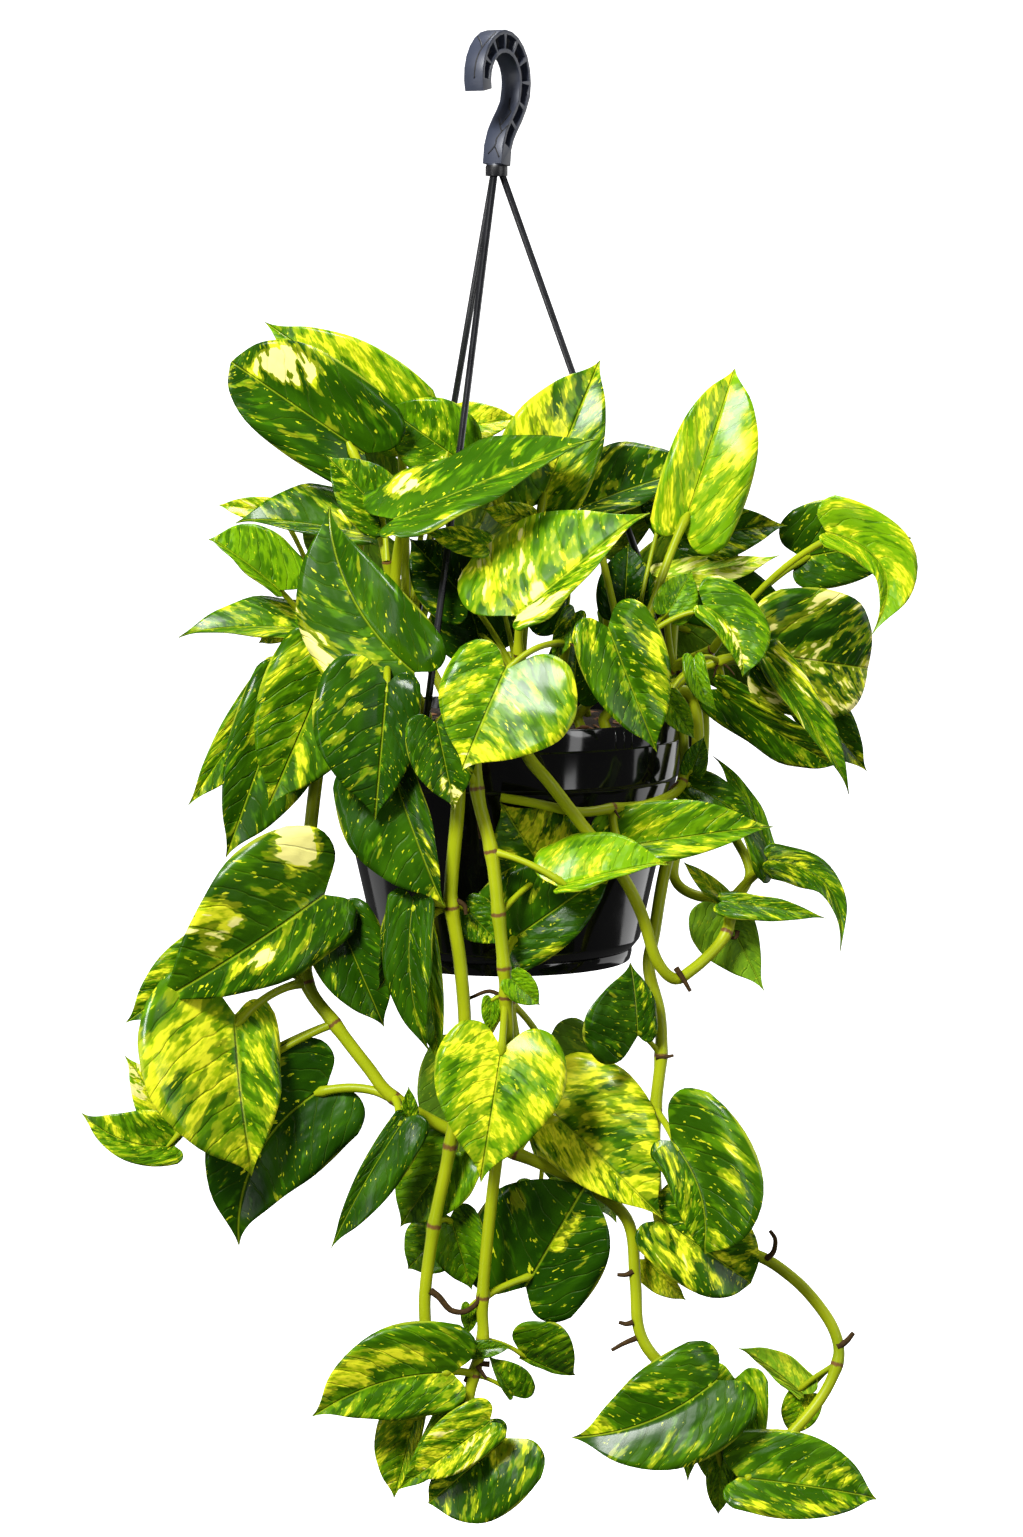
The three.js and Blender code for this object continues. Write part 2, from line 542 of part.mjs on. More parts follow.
// The place on the stem's faceted centre line that is nearest to one of its points.
function placeOnStem(path, point) {
  const spine = stemCurve(path).getSpacedPoints(path.length);
  const feet = spine.slice(1).map((end, i) => {
    return new THREE.Line3(spine[i], end).closestPointToPoint(point, true, new THREE.Vector3());
  });
  return feet.reduce((a, b) => (b.distanceTo(point) < a.distanceTo(point) ? b : a));
}

function vineParts(vine) {
  const { turn, radius, leaves } = vine;
  const path = vinePath(vine);
  const parts = [{ kind: "stem", index: 0, solid: stemRod(path, radius) }];
  const axis = new THREE.Vector3(0, 0, 1);
  leaves.forEach((leaf, index) => {
    const [node, base, tip, , roll] = leaf;
    const frame = bladeFrame(seen(base), seen(tip), roll);
    turnedAboutPot(frame.base, turn);
    for (const way of [frame.along, frame.up, frame.right]) {
      way.applyAxisAngle(axis, THREE.MathUtils.degToRad(turn));
    }
    const start = placeOnStem(path, path[node]);
    parts.push({ kind: "blade", index, solid: bladeSolid(frame, leaf) });
    parts.push({ kind: "petiole", index, solid: petioleSolid(start, frame, leaf) });
  });
  return parts;
}

// Pot, saucer and soil

function turnedRing(profile) {
  const points = profile.map(([radius, z]) => new THREE.Vector2(radius, z));
  const geometry = new THREE.LatheGeometry(points, ROUND);
  geometry.rotateX(Math.PI / 2);
  geometry.translate(POT_AXIS_X, 0, 0);
  return solidFrom(geometry);
}

function potSolid() {
  const inside = BASE_RADIUS - WALL;
  return turnedRing([
    [0, RIM_TOP - BASE_DROP],
    [BASE_RADIUS, RIM_TOP - BASE_DROP],
    [CHAMFER_RADIUS, RIM_TOP - CHAMFER_DROP],
    [UPPER_RADIUS - LEDGE_STEP, RIM_TOP - LEDGE_DROP - LEDGE_STEP],
    [UPPER_RADIUS, RIM_TOP - LEDGE_DROP],
    [RIM_RADIUS - WALL, RIM_TOP - BAND_DROP],
    [RIM_RADIUS, RIM_TOP - BAND_DROP],
    [RIM_RADIUS, RIM_TOP - 1],
    [RIM_RADIUS - 1, RIM_TOP],
    [RIM_RADIUS - WALL, RIM_TOP],
    [UPPER_RADIUS - WALL, RIM_TOP - LEDGE_DROP],
    [CHAMFER_RADIUS - WALL, RIM_TOP - CHAMFER_DROP],
    [inside, RIM_TOP - BASE_DROP + WALL],
    [0, RIM_TOP - BASE_DROP + WALL],
  ]);
}

// The saucer is clipped close under the pot's base.
function saucerSolid() {
  const lip = RIM_TOP - BASE_DROP - GAP;
  const floor = RIM_TOP - SAUCER_DROP;
  return turnedRing([
    [0, floor],
    [SAUCER_RADIUS, floor],
    [SAUCER_RADIUS + 1, floor + SAUCER_LIP],
    [SAUCER_RADIUS + 1, lip],
    [SAUCER_RADIUS + 1 - SAUCER_WALL, lip],
    [SAUCER_RADIUS - SAUCER_WALL, floor + SAUCER_WALL],
    [0, floor + SAUCER_WALL],
  ]);
}

function soilSolid() {
  const floor = RIM_TOP - BASE_DROP + WALL + GAP;
  const top = RIM_TOP - SOIL_DROP;
  const side = WALL + 2 * GAP;
  const slope = (RIM_RADIUS - UPPER_RADIUS) / LEDGE_DROP;
  const filling = turnedRing([
    [0, floor],
    [BASE_RADIUS - side, floor],
    [CHAMFER_RADIUS - side, RIM_TOP - CHAMFER_DROP],
    [UPPER_RADIUS - side, RIM_TOP - LEDGE_DROP],
    [RIM_RADIUS - side - slope * (SOIL_DROP + 2), top - 2],
    [RIM_RADIUS * 0.7, top + 1],
    [0, top + 2],
  ]);
  return VINES.reduce((soil, vine) => soil.subtract(stemHole(vine)), filling);
}

// Each stem stands in a plain hole, a little wider and deeper than the stem.
function stemHole(vine) {
  const path = vinePath(vine);
  path[0].z -= 2 * GAP;
  return stemRod(path, vine.radius + HOLE_CLEARANCE);
}

// Hook, collar and straps

// The hook's centre line and its thickness, from its tip over the crown and down to its foot. It is
// drawn in the hook's own plane: x towards the tip's side, y up.
function hookLine() {
  const stations = [];
  const middle = HOOK_INSIDE + HOOK_CROWN / 2;
  for (let angle = HOOK_START; angle <= HOOK_END; angle += HOOK_STEP) {
    const turn = THREE.MathUtils.degToRad(angle);
    const fromCrown = Math.min(1, Math.abs(angle - 90) / (90 - HOOK_START));
    const thickness = angle < 90 ? THREE.MathUtils.lerp(HOOK_CROWN, HOOK_TIP, fromCrown) : HOOK_CROWN;
    const radius = HOOK_INSIDE + thickness / 2;
    stations.push({
      x: radius * Math.cos(turn), y: radius * Math.sin(turn) - HOOK_INSIDE, thickness,
    });
  }
  const last = stations.at(-1);
  const limb = new THREE.CubicBezierCurve(
    new THREE.Vector2(last.x, last.y),
    new THREE.Vector2(last.x + 4, last.y - 16),
    new THREE.Vector2(0, HOOK_FOOT_Z + middle),
    new THREE.Vector2(0, HOOK_FOOT_Z),
  );
  for (const point of limb.getPoints(HOOK_LIMB_STEPS).slice(1)) {
    stations.push({ x: point.x, y: point.y, thickness: HOOK_CROWN - 2 });
  }
  return stations;
}

// A band along part of the centre line, narrower than the hook by an inset on each side.
function hookBand(stations, inset, low, high) {
  const edges = [[], []];
  stations.forEach((station, i) => {
    const before = stations[Math.max(0, i - 1)];
    const after = stations[Math.min(stations.length - 1, i + 1)];
    const way = new THREE.Vector2(after.x - before.x, after.y - before.y).normalize();
    const half = station.thickness / 2 - inset;
    edges[0].push(new THREE.Vector2(station.x - way.y * half, station.y + way.x * half));
    edges[1].push(new THREE.Vector2(station.x + way.y * half, station.y - way.x * half));
  });
  const outline = new THREE.Shape([...edges[0], ...edges[1].reverse()]);
  const slab = new THREE.ExtrudeGeometry(outline, { depth: high - low, bevelEnabled: false });
  slab.translate(0, 0, low);
  return solidFrom(slab);
}

// The hook is an I-section with its two sides cut out in cells, which leaves a rail round each side
// and thin ribs between the cells.
function hookSolid() {
  const stations = hookLine();
  const half = HOOK_WIDTH / 2;
  const cells = [];
  for (let i = 1; i + 2 < stations.length; i += 2) {
    const cell = stations.slice(i, i + 3).map((station) => ({ ...station }));
    for (const [end, other] of [[0, 1], [2, 1]]) {
      cell[end].x = THREE.MathUtils.lerp(cell[end].x, cell[other].x, HOOK_RIB_SHARE);
      cell[end].y = THREE.MathUtils.lerp(cell[end].y, cell[other].y, HOOK_RIB_SHARE);
    }
    cells.push(hookBand(cell, HOOK_RAIL, HOOK_WEB / 2, half + 1));
    cells.push(hookBand(cell, HOOK_RAIL, -half - 1, -HOOK_WEB / 2));
  }
  const hook = cells.reduce((body, cell) => body.subtract(cell), hookBand(stations, 0, -half, half));
  const turn = THREE.MathUtils.degToRad(HOOK_TURN);
  const towardsTip = new THREE.Vector3(-Math.cos(turn), -Math.sin(turn), 0);
  const up = new THREE.Vector3(0, 0, 1);
  const matrix = new THREE.Matrix4().makeBasis(towardsTip, up, towardsTip.clone().cross(up));
  const collarFoot = HOOK_FOOT_Z - COLLAR_DROP;
  const collar = turnedRing([
    [0, collarFoot],
    [COLLAR_RADIUS, collarFoot],
    [COLLAR_RADIUS, HOOK_FOOT_Z - 1],
    [COLLAR_RADIUS - COLLAR_ROUND, HOOK_FOOT_Z + COLLAR_ROUND],
    [0, HOOK_FOOT_Z + COLLAR_ROUND],
  ]).translate([-POT_AXIS_X, 0, 0]);
  return hook.transform(matrix.elements).add(collar);
}

// A strap runs straight from the collar to its clip, which hooks over the rim.
function strapSolid(angle) {
  const inner = RIM_RADIUS - WALL - CLIP_PLAY;
  const lipFoot = RIM_TOP - SOIL_DROP + CLIP_OVER_SOIL;
  const outer = RIM_RADIUS + 2 * GAP;
  const face = outer + CLIP_THICKNESS;
  const foot = RIM_TOP - CLIP_HEIGHT;
  const bridgeTop = RIM_TOP + GAP + CLIP_THICKNESS + 1;
  const profile = new THREE.Shape([
    [outer, foot], [face, foot], [face, bridgeTop - CLIP_BEVEL], [face - CLIP_BEVEL, bridgeTop],
    [inner - CLIP_LIP + 1, bridgeTop], [inner - CLIP_LIP, bridgeTop - 1], [inner - CLIP_LIP, lipFoot],
    [inner, lipFoot], [inner, RIM_TOP + GAP], [outer, RIM_TOP + GAP],
  ].map(([radius, z]) => new THREE.Vector2(radius, z)));
  const clip = new THREE.ExtrudeGeometry(profile, { depth: CLIP_WIDTH, bevelEnabled: false });
  clip.translate(0, 0, -CLIP_WIDTH / 2);
  clip.rotateX(Math.PI / 2);
  clip.rotateZ(THREE.MathUtils.degToRad(angle));
  clip.translate(POT_AXIS_X, 0, 0);
  const turn = THREE.MathUtils.degToRad(angle);
  const top = new THREE.Vector3(
    STRAP_SPREAD * Math.cos(turn), STRAP_SPREAD * Math.sin(turn), HOOK_FOOT_Z - COLLAR_DROP - COLLAR_ROUND,
  );
  const reach = face - CLIP_THICKNESS / 2;
  const end = new THREE.Vector3(
    POT_AXIS_X + reach * Math.cos(turn), reach * Math.sin(turn), bridgeTop - 3,
  );
  const strap = rod(new THREE.LineCurve3(top, end), STRAP_RADIUS, STRAP_SIDES, 1);
  return strap.add(solidFrom(clip));
}

// The assembly

const plastic = { color: 0x141517, roughness: 0.25, metalness: 0 };
const hangerPlastic = { color: 0x2b3038, roughness: 0.5, metalness: 0 };
const earth = { color: 0x3a2618, roughness: 0.95, metalness: 0 };
const foliage = { color: 0x5f8f22, roughness: 0.35, metalness: 0 };

const plant = new THREE.Group();

function addPart(name, solid, look) {
  const mesh = new THREE.Mesh(geometryFrom(solid), new THREE.MeshStandardMaterial(look));
  mesh.name = name;
  plant.add(mesh);
}

addPart("hanger_hook", hookSolid(), hangerPlastic);
for (const [side, angle] of Object.entries(CLIP_ANGLES)) {
  addPart(`strap_${side}`, strapSolid(angle), hangerPlastic);
}
addPart("pot", potSolid(), plastic);
addPart("saucer", saucerSolid(), plastic);
addPart("soil", soilSolid(), earth);
for (const vine of VINES) {
  addPart(vine.name, Manifold.union(vineParts(vine).map((part) => part.solid)), foliage);
}

export default plant;
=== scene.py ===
# %% [markdown]
# # A golden pothos in a black hanging pot
# This lesson dresses a house plant that hangs from a hook: a black plastic pot with its hanger, and
# a golden pothos whose vines trail down its front. The solids were drawn in CAD, and this script
# only gives them their looks. Everything is in metres, with the same origin as the solids, so a
# piece goes where its numbers say. The first step loads the solids.

# %% Load the solids
import math
import random

import bmesh
import bpy
import numpy as np
from mathutils import Matrix, Vector
from mathutils import noise as field


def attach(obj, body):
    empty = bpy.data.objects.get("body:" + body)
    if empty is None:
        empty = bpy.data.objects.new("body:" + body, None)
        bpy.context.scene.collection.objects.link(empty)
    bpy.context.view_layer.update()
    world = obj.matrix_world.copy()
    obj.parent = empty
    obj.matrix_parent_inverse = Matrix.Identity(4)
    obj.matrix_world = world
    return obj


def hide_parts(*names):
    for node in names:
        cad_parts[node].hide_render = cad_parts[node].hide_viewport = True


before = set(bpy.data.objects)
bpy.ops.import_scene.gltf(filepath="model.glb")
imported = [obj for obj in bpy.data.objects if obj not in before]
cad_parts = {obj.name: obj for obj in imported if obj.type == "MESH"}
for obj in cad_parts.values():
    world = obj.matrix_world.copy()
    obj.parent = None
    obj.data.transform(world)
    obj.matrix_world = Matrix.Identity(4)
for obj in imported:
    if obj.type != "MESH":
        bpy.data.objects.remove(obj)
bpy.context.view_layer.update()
MM = 0.001

# %% [markdown]
# ## The camera
# The plant is seen from a little above its middle, from far enough away that the pot's rim shows
# only as a narrow ellipse. A long lens on a tall frame gives that. The eye's place matters twice:
# the leaves are written down as they are seen from it, and each is slid along the line of sight to
# the depth where it hangs.

# %% The camera
EYE = Vector((8.1, -2384.6, -117.3))
LENS = 102.2
LOOK_DOWN = 6.5

camera_data = bpy.data.cameras.new("camera")
camera_data.sensor_fit = "VERTICAL"
camera_data.sensor_height = 36
camera_data.lens = LENS
camera_data.clip_end = 50
camera = bpy.data.objects.new("camera", camera_data)
camera.location = EYE * MM
camera.rotation_euler = (math.radians(90 - LOOK_DOWN), 0, 0)
bpy.context.collection.objects.link(camera)
bpy.context.scene.camera = camera

# %% [markdown]
# ## Writing shaders as sums
# A finish is easiest to read as a formula, such as vein * 0.3 + speck. Each socket of a node is
# wrapped in a small class whose operators add the Math nodes, and one method adds every other node.
# Settings are made before the sockets are filled, because some of them change which sockets exist.

# %% Sockets that can be added and multiplied
class Flow:
    """The output of a node, which can be used in a sum."""

    def __init__(self, web, socket):
        self.web = web
        self.socket = socket


def in_maths(operation, swapped=False):
    """A method of Flow that adds a Math node for this flow and another value."""
    def method(self, other=0.0):
        pair = (other, self) if swapped else (self, other)
        return self.web.maths(operation, *pair)
    return method


for sign, operation in (("add", "ADD"), ("sub", "SUBTRACT"), ("mul", "MULTIPLY")):
    setattr(Flow, f"__{sign}__", in_maths(operation))
    setattr(Flow, f"__r{sign}__", in_maths(operation, swapped=True))
Flow.__pow__ = in_maths("POWER")
Flow.__abs__ = in_maths("ABSOLUTE")


# %% A web of nodes, and a finish made of it
class Web:
    """A tree of nodes, for a material or for geometry."""

    def __init__(self, tree):
        self.tree = tree

    def add(self, kind, settings=None, values=None, outlet=0):
        """Adds a node, sets it, fills its sockets with numbers or links, and gives one output."""
        node = self.tree.nodes.new(kind)
        for setting, value in (settings or {}).items():
            setattr(node, setting, value)
        for socket, value in (values or {}).items():
            for one in value if isinstance(value, list) else [value]:
                if isinstance(one, Flow):
                    self.tree.links.new(one.socket, node.inputs[socket])
                else:
                    node.inputs[socket].default_value = one
        return Flow(self, node.outputs[outlet])

    def maths(self, operation, first, second=0.0):
        return self.add("ShaderNodeMath", {"operation": operation}, {0: first, 1: second})


class Finish(Web):
    """A material with one Principled shader. Constants go straight on the shader's sockets."""

    def __init__(self, name, **constants):
        self.material = bpy.data.materials.new(name)
        self.material.use_nodes = True
        super().__init__(self.material.node_tree)
        self.shader = self.tree.nodes["Principled BSDF"]
        for socket, value in constants.items():
            self.shader.inputs[socket.replace("_", " ")].default_value = value

    def step(self, value, low, high):
        """0 below low, 1 above high, and a soft rise between."""
        settings = {"interpolation_type": "SMOOTHSTEP"}
        values = {"Value": value, "From Min": low, "From Max": high}
        return self.add("ShaderNodeMapRange", settings, values)

    def blend(self, share, first, second):
        """A colour between two."""
        settings = {"data_type": "RGBA"}
        return self.add("ShaderNodeMix", settings, {0: share, 6: first, 7: second}, outlet=2)

    def noise(self, place, scale, detail=2.0, rough=0.5):
        values = {"Vector": place, "Scale": scale, "Detail": detail, "Roughness": rough}
        return self.add("ShaderNodeTexNoise", {}, values)

    def place(self):
        """Where a point is on the object, in metres."""
        return self.add("ShaderNodeTexCoord", {}, {}, outlet=3)

    def attribute(self, name):
        return self.add("ShaderNodeAttribute", {"attribute_name": name}, {}, outlet="Fac")

    def join(self, x, y, z):
        return self.add("ShaderNodeCombineXYZ", {}, {0: x, 1: y, 2: z})

    def part(self, vector, axis):
        return self.add("ShaderNodeSeparateXYZ", {}, {0: vector}, outlet=axis)

    def use(self, socket, value):
        self.tree.links.new(value.socket, self.shader.inputs[socket])

    def bump(self, height, distance, strength=1.0):
        values = {"Height": height, "Distance": distance, "Strength": strength}
        self.use("Normal", self.add("ShaderNodeBump", {}, values))


def colour(red, green, blue):
    return (red, green, blue, 1.0)

# %% [markdown]
# ## The studio
# A plant on a white page has no room round it, only soft light. A floor that curves up into a wall
# behind gives that page. It glows by itself, and neither mirrors nor bounces light to the plant.
# The key light stands at the upper left, a weaker fill at the right, and one above edges the leaves.
# Two tall strips, low at the sides, draw the long streaks that show the pot's gloss, and two broad
# panels behind it give its sides a soft sheen.

# %% The backdrop
FLOOR = -1.05
FRONT = -6.0
BACK = 3.4
TOP = 5.0
HALF_WIDTH = 7.0
SWEEP = 1.2
SWEEP_STEPS = 16


def backdrop():
    """A floor that turns up into a wall, as one smooth sheet."""
    line = [(FRONT, FLOOR), (BACK - SWEEP, FLOOR)]
    for step in range(1, SWEEP_STEPS + 1):
        turn = math.radians(90 * step / SWEEP_STEPS)
        line.append((BACK - SWEEP + SWEEP * math.sin(turn), FLOOR + SWEEP * (1 - math.cos(turn))))
    line.append((BACK, TOP))
    corners = [(x, y, z) for y, z in line for x in (-HALF_WIDTH, HALF_WIDTH)]
    faces = [(2 * i, 2 * i + 1, 2 * i + 3, 2 * i + 2) for i in range(len(line) - 1)]
    mesh = bpy.data.meshes.new("backdrop")
    mesh.from_pydata(corners, [], faces)
    mesh.shade_smooth()
    sheet = bpy.data.objects.new("backdrop", mesh)
    bpy.context.collection.objects.link(sheet)
    return sheet


sheet = backdrop()
glow = dict(Emission_Color=colour(1, 1, 1), Emission_Strength=1.0)
paper = Finish("white paper", Base_Color=colour(0.93, 0.93, 0.93), Roughness=0.9, **glow)
sheet.data.materials.append(paper.material)
sheet.visible_glossy = False
sheet.visible_diffuse = False
bpy.context.scene.view_settings.view_transform = "Standard"

# %% The lights
LIGHTS = {
    "key": dict(place=(-1.1, -2.0, 1.5), size=0.8, power=146),
    "fill": dict(place=(2.2, -2.0, 0.2), size=1.4, power=18),
    "top": dict(place=(0.3, 0.5, 1.6), size=1.0, power=44),
    "left strip": dict(place=(-1.5, -1.3, -0.6), size=0.22, tall=1.5, power=9),
    "right strip": dict(place=(1.5, -1.6, -0.6), size=0.3, tall=1.5, power=5),
    "right panel": dict(place=(1.5, 0.85, -0.4), size=1.7, tall=1.6, power=12),
    "left panel": dict(place=(-1.6, 0.75, -0.4), size=1.5, tall=1.6, power=4),
}
MIDDLE = Vector((0, 0, -0.4))

for name, light in LIGHTS.items():
    data = bpy.data.lights.new(name, "AREA")
    data.shape = "RECTANGLE" if "tall" in light else "DISK"
    data.size = light["size"]
    data.size_y = light.get("tall", light["size"])
    data.energy = light["power"]
    lamp = bpy.data.objects.new(name, data)
    lamp.location = light["place"]
    lamp.rotation_euler = (MIDDLE - lamp.location).to_track_quat("-Z", "Y").to_euler()
    bpy.context.collection.objects.link(lamp)

world = bpy.data.worlds.new("studio air")
world.use_nodes = True
world.node_tree.nodes["Background"].inputs["Color"].default_value = (1, 1, 1, 1)
world.node_tree.nodes["Background"].inputs["Strength"].default_value = 0.07
bpy.context.scene.world = world

# %% [markdown]
# ## The pot's plastic
# The pot is injection moulded in glossy black plastic. New, it mirrors the studio in long streaks;
# in use it gathers fine dust on its ledges and faint rubbed marks. Its colour stays nearly black,
# and most of the look is in the roughness, which a soft noise breaks up a little.

# %% Glossy black plastic
pot_finish = Finish("glossy_black_plastic", IOR=1.5)
spot = pot_finish.place()
rubbed = pot_finish.noise(spot, 26, detail=4, rough=0.65)
dust = pot_finish.noise(spot, 300, detail=2)
dusty = pot_finish.step(rubbed, 0.5, 0.72) * dust
clean, powdered = colour(0.003, 0.003, 0.0033), colour(0.016, 0.0155, 0.015)
pot_finish.use("Base Color", pot_finish.blend(dusty * 0.2, clean, powdered))
pot_finish.use("Roughness", 0.05 + rubbed * 0.08 + dusty * 0.06)
pot_finish.bump(rubbed, 0.00006, 0.4)

# %% [markdown]
# ## The hanger's plastic
# The hook and the straps are a tougher plastic with a satin surface, blue-grey where the light
# catches it. The mould was textured, so it has a fine grain. The floors of the hook's cells are
# rough, and get painted shade, a darker colour as the shade in a recess: they are found by their
# distance from the hook's middle plane and their facing. The collar is black like the straps.

# %% Satin blue-grey plastic
hanger_finish = Finish("satin_grey_plastic", IOR=1.5)
spot = hanger_finish.place()
cloud = hanger_finish.noise(spot, 60, detail=3)
grain = hanger_finish.noise(spot, 1400, detail=2)
skin = hanger_finish.blend(cloud, colour(0.017, 0.022, 0.036), colour(0.044, 0.052, 0.082))
HOOK_TURN = math.radians(60)
sine, cosine = math.sin(HOOK_TURN), math.cos(HOOK_TURN)
off_middle = abs(hanger_finish.part(spot, 0) * sine - hanger_finish.part(spot, 1) * cosine)
facing = hanger_finish.add("ShaderNodeNewGeometry", {}, {}, outlet=1)
sideways = abs(hanger_finish.part(facing, 0) * sine - hanger_finish.part(facing, 1) * cosine)
# painted shade: the cell floors, near the middle plane and facing sideways, are darkened as shade falls in
# these recesses
cell_floor_shade = hanger_finish.step(sideways, 0.6, 0.85) * (1 - hanger_finish.step(off_middle, 0.003, 0.0045))
COLLAR_TOP = -60 * MM
height = hanger_finish.part(spot, 2)
collar = 1 - hanger_finish.step(height, COLLAR_TOP - 0.3 * MM, COLLAR_TOP + 0.3 * MM)
# painted shade of the cell floors, and the collar's own black colour
dark = hanger_finish.maths("MAXIMUM", cell_floor_shade * 0.9, collar)
hanger_finish.use("Base Color", hanger_finish.blend(dark, skin, colour(0.003, 0.003, 0.004)))
hanger_finish.use("Roughness", 0.34 + cloud * 0.16)
hanger_finish.bump(grain, 0.00005, 0.6)

# %% Glossy strap plastic
strap_finish = Finish("strap_plastic", IOR=1.5)
spot = strap_finish.place()
cloud = strap_finish.noise(spot, 90, detail=3)
black, grey = colour(0.003, 0.003, 0.0036), colour(0.009, 0.0095, 0.012)
strap_finish.use("Base Color", strap_finish.blend(cloud, black, grey))
strap_finish.use("Roughness", 0.2 + cloud * 0.18)
strap_finish.bump(cloud, 0.0002, 0.4)

# %% [markdown]
# ## Making pieces
# Every piece is a mesh that rides on the plant's one body and stands for its solid. These helpers
# turn points and faces into such a piece, and finish it with live modifiers that are then applied,
# so that only plain meshes are left.

# %% Helpers for pieces
SHARP_CORNER = math.radians(30)


def piece_from(name, points, faces, finish, smooth=True, edges=()):
    """A piece from points in millimetres."""
    mesh = bpy.data.meshes.new(name)
    mesh.from_pydata([tuple(float(c) * MM for c in p) for p in points], list(edges), faces)
    mesh.materials.append(finish.material)
    if smooth:
        mesh.shade_smooth()
    piece = bpy.data.objects.new(name, mesh)
    bpy.context.collection.objects.link(piece)
    return piece


def made_plain(piece):
    """Applies a piece's modifiers, and leaves a plain mesh."""
    bpy.context.view_layer.update()
    seen_now = piece.evaluated_get(bpy.context.evaluated_depsgraph_get())
    plain = bpy.data.meshes.new_from_object(seen_now)
    old = piece.data
    piece.modifiers.clear()
    piece.data = plain
    plain.name = piece.name
    bpy.data.meshes.remove(old)
    return piece


def bevelled(piece, width, segments=2):
    """Rounds a piece's edges, as a mould does."""
    bevel = piece.modifiers.new("rounding", "BEVEL")
    bevel.width = width * MM
    bevel.segments = segments
    bevel.limit_method = "ANGLE"
    bevel.angle_limit = SHARP_CORNER
    bevel.harden_normals = False
    return made_plain(piece)


def ring_faces(first, rows, sides):
    """Faces between neighbouring rings of points, the first of which starts at that point."""
    faces = []
    for row in range(rows - 1):
        low, high = first + row * sides, first + (row + 1) * sides
        for i in range(sides):
            after = (i + 1) % sides
            faces.append((low + i, low + after, high + after, high + i))
    return faces


def stands_for(piece, node):
    """The piece is shown instead of a solid, which is hidden."""
    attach(piece, "root")
    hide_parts(node)


# %% Trees of Geometry Nodes
class Growth(Web):
    """A tree that takes a mesh and some numbers, and gives a mesh."""

    def __init__(self, name, **numbers):
        super().__init__(bpy.data.node_groups.new(name, "GeometryNodeTree"))
        face = self.tree.interface
        face.new_socket("Geometry", in_out="INPUT", socket_type="NodeSocketGeometry")
        for number, kind in numbers.items():
            face.new_socket(number, in_out="INPUT", socket_type="NodeSocket" + kind)
        face.new_socket("Geometry", in_out="OUTPUT", socket_type="NodeSocketGeometry")
        self.source = self.tree.nodes.new("NodeGroupInput")
        self.result = self.tree.nodes.new("NodeGroupOutput")

    def given(self, name="Geometry"):
        return Flow(self, self.source.outputs[name])

    def attribute(self, name):
        return self.add("GeometryNodeInputNamedAttribute", {"data_type": "FLOAT"}, {"Name": name})

    def change(self, kind, geometry, **values):
        """Adds a geometry node that takes a mesh first, or a list of them, and gives another."""
        others = {socket.replace("_", " "): value for socket, value in values.items()}
        return self.add("GeometryNode" + kind, {}, {0: geometry, **others})

    def ends_in(self, geometry):
        self.tree.links.new(geometry.socket, self.result.inputs[0])
        return self.tree


def grown(piece, tree, **inputs):
    """Runs a piece through a tree of Geometry Nodes with these inputs, and makes it plain."""
    modifier = piece.modifiers.new("growth", "NODES")
    modifier.node_group = tree
    for item in tree.interface.items_tree:
        if item.in_out == "INPUT" and item.name in inputs:
            modifier[item.identifier] = inputs[item.name]
    return made_plain(piece)

# %% [markdown]
# ## The pot and its saucer
# A pot is turned: its section goes once round the axis. Moulded plastic has no sharp corner, so
# each corner of the section is first rounded with a small fillet, and then the line is turned in
# enough steps that the rim stays round in a close view.

# %% A section with rounded corners
POT_X = 5.6
RIM_TOP = -357.8
RIM_RADIUS = 99.5
BAND_DROP = 12.2
UPPER_RADIUS = 95
LEDGE_DROP = 33
LEDGE_STEP = 1.5
CHAMFER_DROP = 124
CHAMFER_RADIUS = 73.5
BASE_DROP = 129
BASE_RADIUS = 69.5
WALL = 2.3
SOIL_DROP = 5.5
AROUND = 120


def rounded(section, fillet, steps=3):
    """The section with each inner corner turned into a small arc."""
    line = [np.array(section[0], float)]
    for before, corner, after in zip(section, section[1:], section[2:]):
        before, corner, after = (np.array(p, float) for p in (before, corner, after))
        into, out = before - corner, after - corner
        reach = min(fillet, 0.45 * np.linalg.norm(into), 0.45 * np.linalg.norm(out))
        start = corner + into / np.linalg.norm(into) * reach
        end = corner + out / np.linalg.norm(out) * reach
        for i in range(steps + 1):
            t = i / steps
            line.append((1 - t) ** 2 * start + 2 * t * (1 - t) * corner + t * t * end)
    line.append(np.array(section[-1], float))
    return line


def turned(name, section, fillet, finish):
    """A closed shape from a section that starts and ends on the axis, going up its outside."""
    line = rounded(section, fillet)[1:-1]
    points = [(POT_X, 0, section[0][1])]
    for radius, z in line:
        for i in range(AROUND):
            turn = 2 * math.pi * i / AROUND
            points.append((POT_X + radius * math.cos(turn), radius * math.sin(turn), z))
    points.append((POT_X, 0, section[-1][1]))
    last = len(points) - 1
    faces = ring_faces(1, len(line), AROUND)
    for i in range(AROUND):
        after = (i + 1) % AROUND
        faces.append((0, 1 + after, 1 + i))
        faces.append((last, last - AROUND + i, last - AROUND + after))
    return piece_from(name, points, faces, finish)


